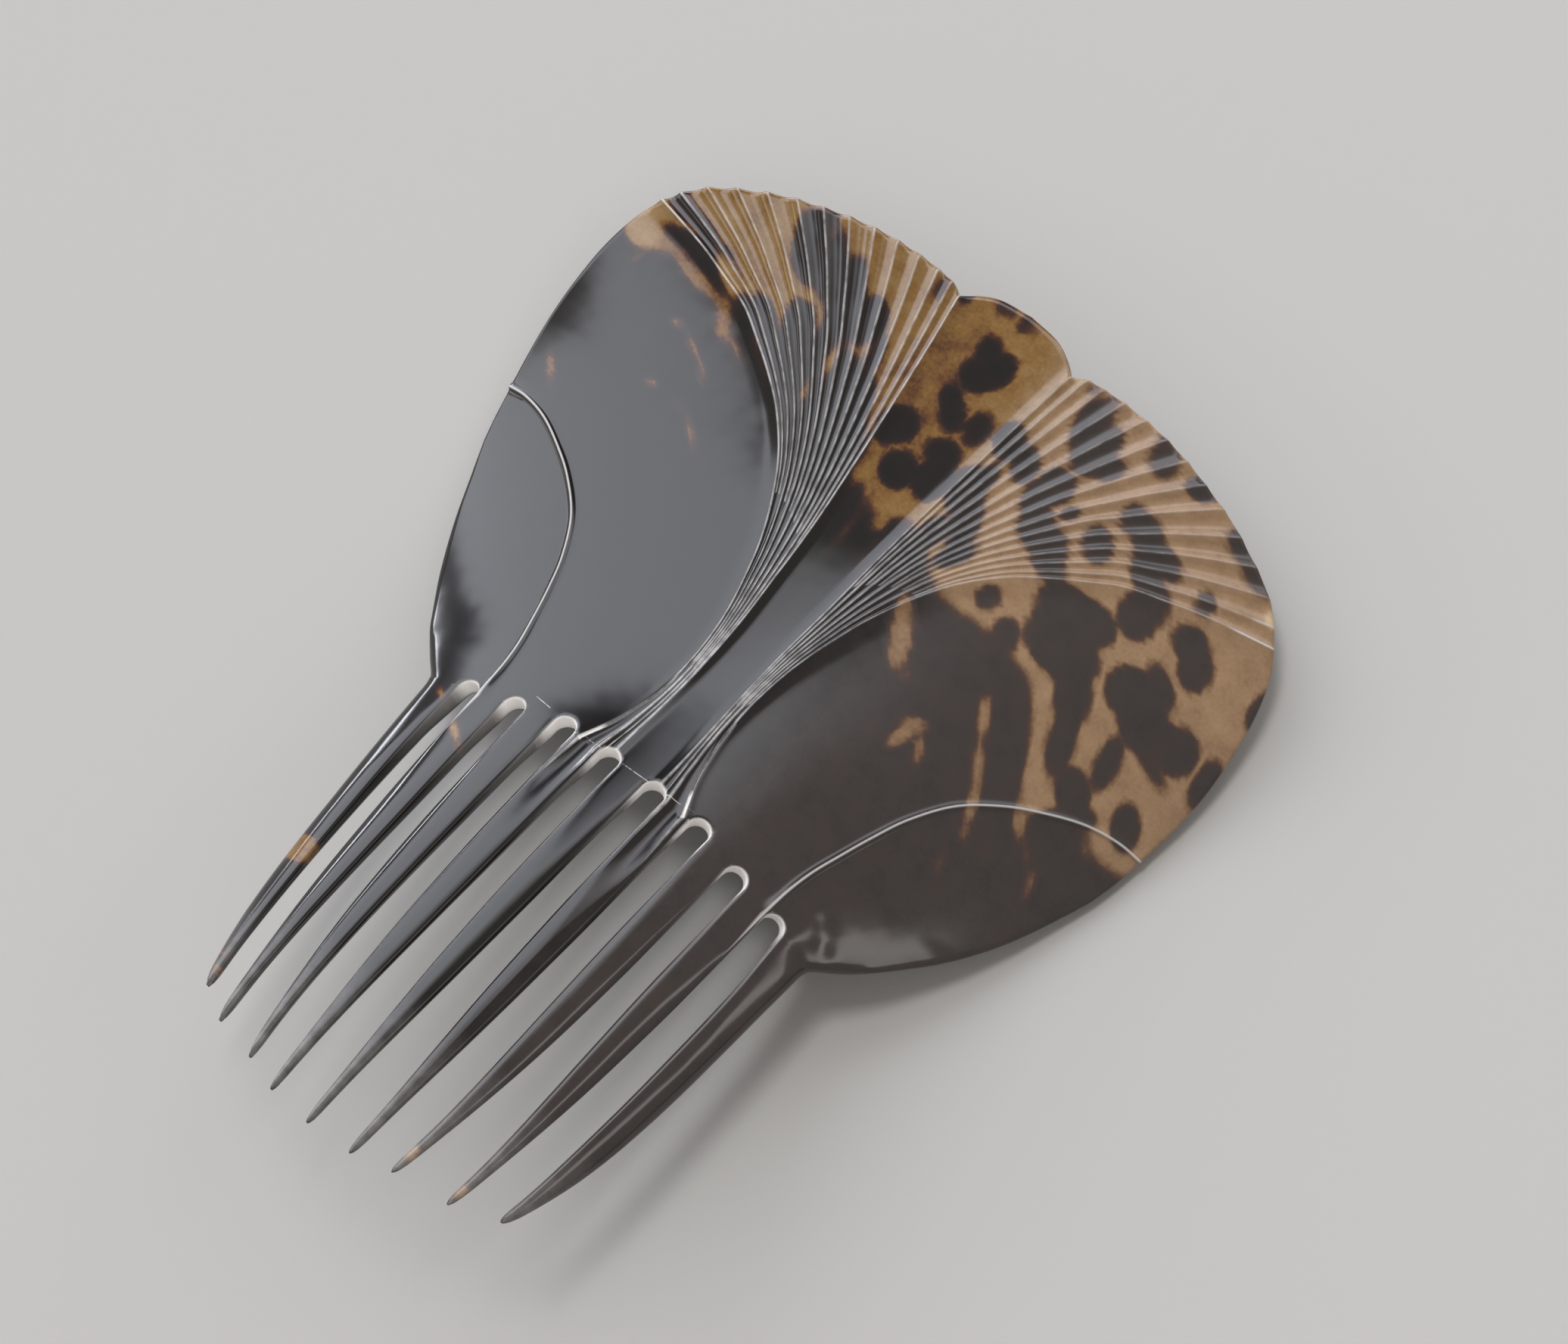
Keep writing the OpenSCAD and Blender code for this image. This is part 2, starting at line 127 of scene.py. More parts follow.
# how the flat layout is bent, and how it then lies on its two lobes
archRadii = (43, 72, 390)
archStations = (-65, 0, 80)
toothBend, toothRun = math.radians(14), 70
neckBend, neckRun = math.radians(17.5), 45
topBend, topRun = math.radians(2.3), 38
restTilt = math.radians(19.8)
midY = 8.66999
floorZ = -23.8353
millimetre = 0.001
nearby = 0.5  # how far to each side a slope is measured


def mix(a, b, t):
    return a + (b - a) * t


def mixPoints(a, b, t):
    return tuple(p + (q - p) * t for p, q in zip(a, b))


def smooth(x):
    t = min(max(x, 0.0), 1.0)
    return t * t * (3 - 2 * t)


# rises from 0 to 1 over a length; a negative length makes it fall
def rising(x, start, length):
    return smooth((x - start) / length)


# a smooth curve through points, by its length or by given stations
def curve(points, stations=None):
    if stations is None:
        lengths = [0.0]
        for a, b in zip(points, points[1:]):
            lengths.append(lengths[-1] + math.dist(a, b))
        stations = [length / lengths[-1] for length in lengths]
    last = len(points) - 1
    slopes = []
    for i in range(last + 1):
        a, b = max(i - 1, 0), min(i + 1, last)
        gap = stations[b] - stations[a]
        slopes.append([(q - p) / gap for p, q in zip(points[a], points[b])])

    def at(t):
        t = min(max(t, stations[0]), stations[-1])
        i = 0
        while i < last - 1 and stations[i + 1] <= t:
            i += 1
        h = stations[i + 1] - stations[i]
        x = (t - stations[i]) / h
        a, b = 2 * x**3 - 3 * x * x + 1, (x**3 - 2 * x * x + x) * h
        c, d = 3 * x * x - 2 * x**3, (x**3 - x * x) * h
        return tuple(
            a * p + b * m + c * q + d * n
            for p, m, q, n in zip(points[i], slopes[i], points[i + 1], slopes[i + 1])
        )

    return at


# the bend: arch radius at v, the middle line's y, z and rise, then the surface
archLogs = [math.log(r) for r in archRadii]
archTop = (archLogs[2] - archLogs[1]) / archStations[2]
archBottom = (archLogs[1] - archLogs[0]) / -archStations[0]
archQuad = (archTop - archBottom) / (archStations[2] - archStations[0])
archSlope = archBottom - archQuad * archStations[0]


def archRadius(v):
    return math.exp(archLogs[1] + archSlope * v + archQuad * v * v)


def arcRun(v, bend, length, start):
    k = bend / length
    end = start + k * v
    return (math.sin(end) - math.sin(start)) / k, (math.cos(start) - math.cos(end)) / k


def spine(v):
    if v < 0:
        y, z = arcRun(v, -toothBend, toothRun, 0)
        return y, z, -toothBend * v / toothRun
    if v < neckRun:
        y, z = arcRun(v, neckBend, neckRun, 0)
        return y, z, neckBend * v / neckRun
    y, z = arcRun(neckRun, neckBend, neckRun, 0)
    dy, dz = arcRun(v - neckRun, topBend, topRun, neckBend)
    return y + dy, z + dz, neckBend + topBend * (v - neckRun) / topRun


def skin(u, v):
    y, z, rise = spine(v)
    r = archRadius(v)
    d = r * (1 - math.cos(u / r))
    return Vector((r * math.sin(u / r), y + d * math.sin(rise), z - d * math.cos(rise)))


# a flat point and its height above the surface, bent, laid down and in metres
def placed(p):
    u, v, h = p
    across = skin(u + nearby, v) - skin(u - nearby, v)
    along = skin(u, v + nearby) - skin(u, v - nearby)
    q = skin(u, v) + across.cross(along).normalized() * h
    c, s = math.cos(restTilt), math.sin(restTilt)
    x, y, z = q[0], q[1] * c + q[2] * s - midY, -q[1] * s + q[2] * c - floorZ
    return Vector((x, y, z)) * millimetre


# the half-round end of slot k, from 0 on its inner side to 180 on its outer side
def gullet(k, turn):
    a = math.radians(turn)
    u = (k + 0.5) * comb["slotPitch"] - halfSlot * math.cos(a)
    return u, teeth[k][2] - halfSlot * (1 - math.sin(a))


def arc(k, start, end):
    return lambda t: gullet(k, mix(start, end, t))


def straight(a, b):
    return lambda t: mixPoints(a, b, t)


# a line made of pieces, each some steps long
def chain(*pieces):
    def at(x):
        for steps, piece in pieces[:-1]:
            if x <= steps:
                return piece(x / steps)
            x -= steps
        steps, piece = pieces[-1]
        return piece(min(x / steps, 1))

    return at


# where the outermost ridge and the arc meet the base of the head
fanRoot = (outerRidge[0][0], gullet(1, 0)[1])
arcRoot = (cornerArc[0][0], gullet(3, 0)[1])

# the four patches of the right half, from the middle outwards; shares are by step along the base
patches = {
    "leaf": {
        "left": curve(middleLine), "right": curve(innerRidge), "rim": curve(rimLobe),
        "base": chain((2, straight((0, gullet(0, 0)[1]), gullet(0, 0))), (3, arc(0, 0, 90))),
        "shares": [0, 0.24, 0.46, 0.64, 0.88, 1],
    },
    "fan": {
        "left": curve(innerRidge), "right": curve(outerRidge), "rim": curve(rimFan),
        "base": chain((0.5, arc(0, 90, 180)), (0.5, straight(gullet(0, 180), fanRoot))),
        "shares": [0, 1],
    },
    "side": {
        "left": curve(outerRidge), "right": curve(cornerArc), "rim": curve(rimSide),
        "base": chain(
            (1, straight(fanRoot, gullet(1, 0))), (6, arc(1, 0, 180)),
            (4, straight(gullet(1, 180), gullet(2, 0))), (6, arc(2, 0, 180)),
            (3, straight(gullet(2, 180), arcRoot)),
        ),
        "shares": [0, 0.035, 0.08, 0.13, 0.185, 0.24, 0.295, 0.35, 0.405, 0.46, 0.515, 0.57,
                   0.625, 0.68, 0.735, 0.79, 0.84, 0.89, 0.93, 0.965, 1],
    },
    "corner": {
        "left": curve(cornerArc), "right": curve(lowerEdge), "rim": curve(rimCorner),
        "base": chain(
            (1, straight(arcRoot, gullet(3, 0))), (6, arc(3, 0, 180)),
            (4, straight(gullet(3, 180), waist)),
        ),
        "shares": [0, 0.06, 0.14, 0.23, 0.33, 0.43, 0.54, 0.65, 0.75, 0.85, 0.94, 1],
    },
}


def shareOf(patch, x):
    shares = patch["shares"]
    i = min(int(x), len(shares) - 2)
    return mix(shares[i], shares[i + 1], x - i)


def patchPoint(patch, s, x):
    w = shareOf(patch, x)
    inside = mixPoints(patch["left"](s), patch["right"](s), w)
    atRim = mixPoints(patch["left"](1), patch["right"](1), w)
    atBase = mixPoints(patch["left"](0), patch["right"](0), w)
    rim, base = patch["rim"](w), patch["base"](x)
    rimWeight, baseWeight = s**rimPull, (1 - s) ** slotPull
    return tuple(
        p + (r - a) * rimWeight + (b - c) * baseWeight
        for p, r, a, b, c in zip(inside, rim, atRim, base, atBase)
    )


# how the carving grows from the slots (0) to the rim (1): where each form starts and over what share
growth = {
    "ridge": (0.1, 0.3),
    "middleFlutes": (0.14, 0.16),
    "allFlutes": (0.4, 0.18),
    "flank": (0, 0.3),
    "arc": (-0.02, 0.05),
    "corner": (0, 0.35),
    "crest": (0, 0.03),
    "scallop": (0.93, 0.07),
    "middleCrests": 0.2,
    "allCrests": 0.47,
}
# its smaller sizes, in millimetres unless a share is named
carving = {
    "ridgeRootShare": 0.35,
    "crestShare": 0.15,
    "flankReach": 16,
    "flankBlend": 0.12,
    "leafHollow": 0.15,
    "leafGrowth": 3,
    "leafReach": 1.3,
    "arcOutside": 0.7,
    "arcInside": 0.6,
    "cornerHollow": 0.1,
}
allRidges = range(len(ridgeAt))


# relief of the front
def ridgeTop(s):
    return comb["ridgeHeight"] * mix(carving["ridgeRootShare"], 1, rising(s, *growth["ridge"]))


# depth of the flutes between some of the ridges
def flutes(w, ridges, width):
    for a, b in zip(ridges, ridges[1:]):
        low, high = ridgeAt[a], ridgeAt[b]
        if w <= high:
            x = (w - low) / (high - low)
            deep = min(comb["fluteSteepness"] * (high - low) * width, comb["fluteDepth"])
            return deep * 4 * x * (1 - x)
    return 0


def fanRelief(w, s, width):
    root = flutes(w, rootRidges, width)
    middle = flutes(w, longRidges, width)
    full = flutes(w, allRidges, width)
    deep = mix(root, middle, rising(s, *growth["middleFlutes"]))
    return ridgeTop(s) - mix(deep, full, rising(s, *growth["allFlutes"]))


# how far a point is from the nearest ridge or arc, in millimetres
def ridgeGap(name, s, w, width):
    if name == "fan":
        crests = rootRidges
        if s > growth["middleCrests"]:
            crests = longRidges
        if s > growth["allCrests"]:
            crests = allRidges
        return min(abs(w - ridgeAt[i]) for i in crests) * width
    if name == "leaf":
        return (1 - w) * width
    if name == "side":
        return min(w, 1 - w) * width
    return w * width


# a crest that falls away over a distance
def crest(distance, reach):
    return 1 - smooth(distance / reach)


# beside the outermost ridge: a straight slope down into a long low hollow
def shoulder(s, near):
    slope = ridgeTop(s) - comb["flankSlope"] * near
    fade = 1 - smooth(near / carving["flankReach"])
    hollow = -comb["flankHollow"] * rising(s, *growth["flank"]) * fade
    return (slope + hollow + math.hypot(slope - hollow, carving["flankBlend"])) / 2


def relief(name, s, w, width):
    if name == "fan":
        return fanRelief(w, s, width)
    if name == "leaf":
        hollow = -carving["leafHollow"] * (1 - w * w) * smooth(s * carving["leafGrowth"])
        return hollow + ridgeTop(s) * crest((1 - w) * width, carving["leafReach"])
    near, far = w * width, (1 - w) * width
    arcTop = comb["arcHeight"] * rising(s, *growth["arc"])
    if name == "side":
        return shoulder(s, near) + arcTop * crest(far, carving["arcOutside"])
    away = smooth(near / carving["arcInside"])
    hollow = carving["cornerHollow"] * rising(s, *growth["corner"]) * away
    return arcTop * crest(near, carving["arcInside"]) - hollow


# columns: a tooth's share of its half width, also with the arc on it, then each patch's steps
# along the base
toothColumns = [-1, -0.965, -0.9, -0.78, -0.52, -0.26, 0, 0.26, 0.52, 0.78, 0.9, 0.965, 1]
ridgedColumns = toothColumns[:8] + [0.4, 0.46, 0.5, 0.56, 0.66, 0.78, 0.9, 0.965, 1]
arcColumns = [i / 2 for i in range(1, 12)]
fluteColumns = [0.25, 0.5, 0.75]


def rootColumns(start, columns):
    return [start + 2 * (c + 1) for c in columns]


leafColumns = [2 * c for c in toothColumns if c >= 0] + [2.5, 3, 3.5, 4, 4.4, 4.7, 4.9, 5]
sideColumns = (
    [0, 0.1, 0.3, 0.6, 1] + [1 + a for a in arcColumns] + rootColumns(7, toothColumns)
    + [11 + a for a in arcColumns] + rootColumns(17, [c for c in ridgedColumns if c <= 0.5])
)
cornerColumns = (
    [2 * (c - 0.5) for c in ridgedColumns if c >= 0.5] + [1 + a for a in arcColumns]
    + rootColumns(7, toothColumns)
)


# the fan's columns: both sides of each crest, and the flutes between them
def fanColumn(i, s, width):
    perFlute = len(fluteColumns) + 2
    flute, step = divmod(i, perFlute)
    flutesAll = len(ridgeAt) - 1
    if i == flutesAll * perFlute:
        return 1.0
    low, high = ridgeAt[flute], ridgeAt[flute + 1]
    half = min(comb["ridgeCrest"] / 2 / width, (high - low) * carving["crestShare"])
    if step == 0:
        if flute == middleRidge:
            return low + half * rising(s, *growth["crest"])
        return low + half if flute else 0.0
    if step == perFlute - 1:
        return high - half
    return mix(low, high, fluteColumns[step - 1])


fanCount = (len(ridgeAt) - 1) * (len(fluteColumns) + 2)
fanRootFrom = middleRidge * (len(fluteColumns) + 2)
columnCounts = {
    "leaf": len(leafColumns) - 1, "fan": fanCount,
    "side": len(sideColumns) - 1, "corner": len(cornerColumns) - 1,
}
columnsOf = {"leaf": leafColumns, "side": sideColumns, "corner": cornerColumns}

rowsNearSlots = [0, 0.001, 0.0025, 0.005, 0.009, 0.015, 0.023, 0.033, 0.045]
rowsNearRim = [0.96, 0.972, 0.982, 0.989, 0.994, 0.9975, 0.9992, 1]
middleRows = 82
rows = (
    rowsNearSlots
    + [mix(rowsNearSlots[-1], rowsNearRim[0], i / middleRows) for i in range(1, middleRows)]
    + rowsNearRim
)


# a point of the head, flat, with its height
def headPoint(name, s, column):
    patch = patches[name]
    width = math.dist(patch["left"](s), patch["right"](s))
    x = fanColumn(column, s, width) if name == "fan" else columnsOf[name][column]
    w = shareOf(patch, x)
    u, v = patchPoint(patch, s, x)
    h = relief(name, s, w, width)
    if name == "fan":
        scallop = flutes(w, allRidges, width) / comb["fluteDepth"]
        v -= comb["rimScallop"] * scallop * rising(s, *growth["scallop"])
    return u, v, h, ridgeGap(name, s, w, width)


def headThickness(v):
    return mix(comb["baseThickness"], comb["rimThickness"], rising(v, 0, 70))


# each tooth's root columns: (patch, column)
def columnsBetween(name, low, high):
    return [(name, i) for i, c in enumerate(columnsOf[name]) if low <= c <= high]


toothRoots = [
    columnsBetween("leaf", 0, 2),
    [("fan", i) for i in range(fanRootFrom, fanCount)] + columnsBetween("side", 0, 1),
    columnsBetween("side", 7, 11),
    columnsBetween("side", 17, 20)[:-1] + columnsBetween("corner", 0, 1),
    columnsBetween("corner", 7, 11),
]
toothSteps = 56
toothRows = (
    [0, 0.006, 0.012] + [i / toothSteps for i in range(1, toothSteps)]
    + [0.985, 0.989, 0.993, 0.9965, 0.999, 1]
)
taperCurve = curve([row[1:] for row in taper], [row[0] for row in taper])


# columns evenly across a tooth, closer at its sides
def spread(count):
    sides = toothColumns[:4]
    inner = count - 2 * len(sides)
    middle = [mix(sides[-1], -sides[-1], (i + 1) / (inner + 1)) for i in range(inner)]
    return sides + middle + [-c for c in reversed(sides)]


# how a tooth changes from its root (0) to its tip (1), and shares of its thickness and width
tooth = {
    "lean": 3.6,
    "roundFrom": 0.985,
    "roundLength": 0.0155,
    "thinning": 1.05,
    "settled": 0.15,
    "ridgesEnd": 0.3,
    "plainEnd": 0.46,
    "bevelDrop": 0.13,
    "sideDrop": 0.05,
    "backWidth": 0.9,
    "backRound": 0.2,
    "backPower": 2.2,
    "crestFade": 0.22,
    "crestGap": 0.3,
}


# a point of tooth t: u, v, height, middle, thickness below, how narrow its back is, ridge gap
def toothPoint(t, roots, column, d):
    first, last = roots[0], roots[-1]
    left = -last[0] if t == 0 else first[0]
    middle, half = (left + last[0]) / 2, (last[0] - left) / 2
    tipU, tipV = teeth[t][0], -comb["toothLength"] + teeth[t][1]
    bow = comb["toothBow"] * 4 * d * (1 - d) if t == 4 else 0
    centre = mix(middle, tipU, d ** tooth["lean"]) + bow
    innerShare, outerShare, end = taperCurve(d)
    share = outerShare if t == 4 else innerShare
    if d > tooth["roundFrom"]:
        share *= math.sqrt(1 - ((d - tooth["roundFrom"]) / tooth["roundLength"]) ** 2)
    thick = mix(comb["baseThickness"], comb["tipThickness"], smooth(d * tooth["thinning"]))
    real = thick * end
    top = (real - thick) / 2
    settle = smooth(d / tooth["settled"])
    ridged = smooth(d / (tooth["ridgesEnd"] if t < 2 else tooth["settled"]))
    rootU, rootV, rootH, rootGap = roots[column]
    if t == 1:
        across = spread(len(roots))[column]
    else:
        across = (rootU - middle) / half
    x = mix((rootU - middle) / half, across, settle)
    # the head's plain front runs down each tooth and narrows to a point between two bevels
    plain = 1 - smooth(d / tooth["plainEnd"])
    bevel = max(abs(x) - plain, 0) / (1 - plain + 1e-6)
    cut = tooth["bevelDrop"] * (1 - plain) * (0.5 * bevel + 0.5 * bevel**3)
    drop = real * (cut + tooth["sideDrop"] * settle * abs(x) ** 3)
    h = mix(rootH, top, ridged) - drop * settle
    v = mix(rootV, tipV, d)
    narrow = mix(1, tooth["backWidth"], settle)
    back = real - top - tooth["backRound"] * real * abs(x) ** tooth["backPower"]
    below = mix(headThickness(0), back, settle)
    gap = rootGap + d / tooth["crestFade"] * tooth["crestGap"]
    return centre + x * half * share, v, h, centre, below, narrow, gap


# pigment: the clear ground ends at this v for each u
groundLimit = curve(
    [(61,), (60,), (60,), (63,), (66,), (64,), (61.5,), (60,), (63,), (64,), (62,), (56,), (49.5,),
     (48.5,), (48,), (49.5,), (49,), (46,), (44.5,), (44.5,), (44,), (42.5,), (38,), (31.5,), (29.5,),
     (33,), (33,), (31,), (32,)],
    [-60, -56, -51, -46, -42, -38, -34, -29, -25, -16, -11, -8, -5,
     -2, 1, 4, 8, 12, 15, 23, 27, 32, 36, 40, 43,
     46, 50, 54, 60],
)
# patches of pigment in the order they overlap; angle from across towards the head, tone from
# black (0) to blonde (1)
blotchColumns = ["u", "v", "length", "width", "angle", "tone"]
blotches = [
    # left fan
    (-52, 68, 3.6, 1.4, -25, 0.32), (-46, 66.6, 4.4, 1, -20, 0.2), (-31.6, 73, 5.6, 2.4, 125, 0.1),
    (-32, 78.4, 1.8, 0.6, 125, 0.2), (-27.3, 72.6, 4.8, 1.7, 115, 0.1), (-22.3, 69.6, 6.6, 2.5, 115, 0.1),
    (-17.8, 69.4, 3.6, 2.4, 110, 0.1), (-13.8, 66, 2.8, 0.9, 100, 0.2), (-12.7, 79, 1.7, 0.9, 105, 0.4),
    (-9, 80.2, 1.1, 0.8, 90, 0.3), (-20.5, 63.5, 3.6, 2, 110, 0.12),
    (-32.6, 75.2, 2.4, 1.6, 100, 0.1), (-25.6, 63.4, 3.8, 2.2, 125, 0.1), (-31, 61.6, 3, 1.6, -35, 0.1),
    (-28.2, 67.6, 2.6, 0.8, 168, 0.64), (-29, 64.2, 2, 0.5, 122, 0.6), (-18.6, 62, 3.8, 0.9, 108, 0.64),
    (-18.8, 56.5, 2.4, 0.8, 112, 0.6), (-16, 66.3, 1.4, 0.7, 105, 0.6), (-7, 54, 2.5, 1, 95, 0.3),
    # left lobe
    (-54.6, 62.6, 3.2, 3.2, 0, 0.78), (-47, 64, 4.8, 1.1, 0, 0.12), (-38.2, 63, 5, 1.3, -25, 0.75),
    (-43.5, 60.8, 7, 1.3, -12, 0.62), (-35.6, 58, 3.8, 1.6, -48, 0.62), (-31.4, 55.8, 3.2, 0.9, -30, 0.55),
    (-53, 58.4, 1.5, 1, 60, 0.52), (-31, 59, 5, 1.3, -35, 0.05), (-23, 53.6, 5, 1.3, -42, 0.05),
    (-16.4, 46.4, 5, 1.2, -50, 0.05), (-11.6, 39.4, 4.5, 1, -60, 0.05), (-28.8, 57.8, 1.4, 0.6, -40, 0.45),
    (-26, 55.6, 1.8, 0.5, -35, 0.46), (-17.6, 46, 1.4, 0.5, -50, 0.42), (-41.3, 54, 1.3, 0.9, 0, 0.6),
    (-36.5, 52.4, 3.4, 0.8, -25, 0.6), (-32.8, 50, 2.2, 0.7, -42, 0.58), (-38.6, 45.2, 1.6, 0.8, 0, 0.6),
    (-28.6, 42.8, 3.8, 0.8, -38, 0.6), (-54.6, 39.8, 3.2, 1, -42, 0.6), (-33, 44.8, 1.6, 0.6, -30, 0.5),
    # middle leaf
    (-3.6, 81.9, 1.4, 1.3, 90, 0.42), (0.2, 81.7, 1.3, 1.2, 90, 0.36), (-1.7, 76, 1.8, 1.6, 90, 0.1),
    (1.3, 74.4, 2.1, 2.7, 0, 0.1), (-0.6, 72.2, 2.6, 2.2, 0, 0.1), (-1.7, 67.6, 1.5, 1.5, 0, 0.08),
    (0.2, 65.7, 2.3, 1.6, -50, 0.08), (4.3, 66.2, 2.5, 1.7, 95, 0.22), (-4.9, 60.4, 2.5, 2.5, 90, 0.08),
    (-5.6, 58.4, 1.5, 1.5, 0, 0.1), (-0.9, 55.2, 2.6, 2.6, 0, 0.08), (2.6, 60.6, 2.5, 2, 0, 0.12),
    (3.8, 57, 2.6, 3.2, 0, 0.12), (-3.2, 46, 4, 1.3, 95, 0.08), (1.8, 47.8, 1.6, 1.3, 90, 0.6),
    (-1.2, 44, 5, 0.8, 92, 0.42), (3.4, 43, 4, 0.7, 88, 0.38),
    # right fan
    (9, 67.4, 2.8, 2.1, 115, 0.1), (12.6, 66.2, 2.7, 1.8, 120, 0.1), (16.6, 75.6, 4.2, 2.3, 105, 0.1),
    (18.6, 73, 3.4, 2.5, 110, 0.1), (16.8, 79.8, 1.6, 0.8, 100, 0.36), (22.2, 72.6, 1.9, 1.5, 60, 0.16),
    (20.2, 76, 1.9, 1.1, 115, 0.12), (18, 66.4, 2.4, 2.5, 0, 0.1), (21.8, 64.6, 1.2, 0.9, 60, 0.18),
    (16.8, 63, 2.4, 1.6, 120, 0.12), (19, 60.6, 3.2, 2.2, 120, 0.1), (22.6, 58.8, 3.4, 2.4, 130, 0.1),
    (25.3, 56.6, 2.2, 1.4, 140, 0.14), (27.4, 63.4, 2.5, 1.9, 130, 0.1), (29.2, 69.2, 2.1, 1.6, 120, 0.16),
    (32.3, 68.2, 3, 1.9, 130, 0.14), (36.4, 67.2, 2.6, 1.4, 150, 0.16), (34.8, 64.4, 2.8, 1.7, 135, 0.14),
    (38.2, 62.4, 3, 1.7, 140, 0.16), (44, 66, 1.6, 1.1, 110, 0.22), (27.4, 78, 2.5, 2, 130, 0.3),
    (25.6, 80, 1.2, 0.8, 110, 0.36), (33.8, 78, 2.1, 1.6, 0, 0.14), (43, 74.8, 2.6, 1.2, -30, 0.26),
    (46.9, 72.8, 2.1, 1.1, -32, 0.3), (49.4, 72.4, 0.9, 0.6, -40, 0.3), (13.8, 80, 1.2, 0.9, 0, 0.46),
    (8.6, 58.6, 3.6, 2.4, 95, 0.12), (11.4, 54.6, 4.2, 1.8, 105, 0.1), (13, 50.4, 2.8, 1.3, 60, 0.1),
    (8.6, 51, 3, 1.6, 80, 0.14), (9.8, 62, 1.6, 1, 100, 0.16),
    # right lobe
    (45.6, 60.6, 2.6, 2.1, 0, 0.12), (48.4, 58.2, 2.8, 2.2, -60, 0.1), (37.8, 59.2, 3.3, 2.8, -50, 0.22),
    (58.8, 59.4, 2.6, 1.6, 90, 0.16), (28.6, 54.2, 3.4, 2.6, 20, 0.1), (33, 54.4, 4, 2.8, 0, 0.1),
    (30.6, 50, 4.6, 3.6, -40, 0.08), (34.8, 48.8, 3.4, 3.4, -50, 0.08), (25.4, 45.8, 2.6, 1.9, 110, 0.12),
    (20.3, 48.8, 1.7, 1.4, 90, 0.12), (37.6, 45.4, 4, 2.4, -58, 0.1), (40.3, 39.8, 4.4, 1.8, -65, 0.1),
    (43, 50.6, 3.2, 3.2, 0, 0.1), (47.4, 48.4, 4.6, 3.2, -25, 0.1), (53.2, 48.4, 3.2, 2.8, -40, 0.12),
    (46.2, 53.6, 3, 1.4, -30, 0.16), (58.9, 47.4, 3.2, 1.6, 100, 0.16), (47, 41.4, 3.6, 1.5, -75, 0.14),
    (54.4, 36.8, 2.9, 1.9, -50, 0.14), (45.8, 35.8, 3.2, 2.2, -40, 0.14), (49.4, 34.4, 1.5, 1.3, 0, 0.28),
    (51, 45, 4, 1, -20, 0.3), (14.4, 37.2, 5.4, 1.9, -58, 0.68), (12, 41, 2, 1.2, -60, 0.66),
    (18.4, 33.4, 1.2, 1, 0, 0.5), (30, 36, 3.2, 1.2, -58, 0.72), (33.6, 30.6, 4, 1, -54, 0.68),
    (36.6, 26, 3.4, 1.1, -62, 0.7), (38.2, 22.8, 1.6, 0.8, -60, 0.58), (38.4, 18, 2.4, 0.8, -70, 0.5),
    (42.8, 28.6, 3, 1.2, -48, 0.68), (49.6, 23.6, 2.4, 0.9, -65, 0.6), (46.6, 26, 2.4, 0.7, -45, 0.5),
    (23.2, 26.6, 2.8, 1.3, -105, 0.68), (26.3, 26.8, 2.6, 1, -60, 0.64), (23.6, 29.2, 2.4, 1.2, 30, 0.64),
    (52, 31.6, 2.2, 0.8, -45, 0.5), (52.3, 69.8, 1.3, 0.8, -35, 1.05),
    # roots and teeth
    (-31.4, -6.4, 1.8, 0.8, -35, 0.66), (-24.5, -10.6, 2.4, 0.9, -35, 0.72), (-22.4, -12.4, 1, 0.9, 0, 0.58),
    (-33, -36, 4.2, 2.7, 0, 0.62), (-30.5, -54.2, 2.8, 0.7, 5, 0.64), (-29.6, -57.2, 3, 1.2, 20, 0.56),
    (13.4, -60.8, 1.6, 1.3, 90, 0.78), (21.6, -60.2, 1.6, 1.2, 90, 0.74), (-12.5, -19, 2, 1.4, 90, 0.4),
]


# tones of the ground, where it is honey coloured, and how many millimetres wide its edge and the
# blotches' edges are
pigment = {
    "dark": 0.05,
    "paleDarkAndSheen": 0.27,
    "leftClear": 0.66,
    "rightClear": 0.77,
    "honeyDrop": 0.08,
    "honeyAt": (-6, 66),
    "honeyReach": (7, 14),
    "honeyCore": 1.3,
    "groundEdge": 3.5,
    "blotchEdge": 1.35,
}


def toneAt(u, v):
    limit = groundLimit(u)[0]
    clear = mix(pigment["leftClear"], pigment["rightClear"], rising(u, 2, 12))
    (honeyU, honeyV), (wide, high) = pigment["honeyAt"], pigment["honeyReach"]
    off = math.hypot((u - honeyU) / wide, (v - honeyV) / high)
    honey = smooth(pigment["honeyCore"] - off)  # the top of the leaf is yellower
    onGround = smooth((v - limit) / pigment["groundEdge"] + 0.5)
    tone = mix(pigment["dark"], clear - pigment["honeyDrop"] * honey, onGround)
    for values in blotches:
        b = dict(zip(blotchColumns, values))
        a = math.radians(b["angle"])
        du, dv = u - b["u"], v - b["v"]
        if abs(du) > 2 * b["length"] + 2 or abs(dv) > 2 * b["length"] + 2:
            continue
        lengthwise = (du * math.cos(a) + dv * math.sin(a)) / b["length"]
        crosswise = (dv * math.cos(a) - du * math.sin(a)) / b["width"]
        out = (math.hypot(lengthwise, crosswise) - 1) * b["width"]
        tone = mix(tone, b["tone"], smooth(0.5 - out / pigment["blotchEdge"]))
    return max(tone, pigment["paleDarkAndSheen"] * rising(u, 9, 9))  # the right side's dark is a paler brown, partly its own colour and partly a painted sheen
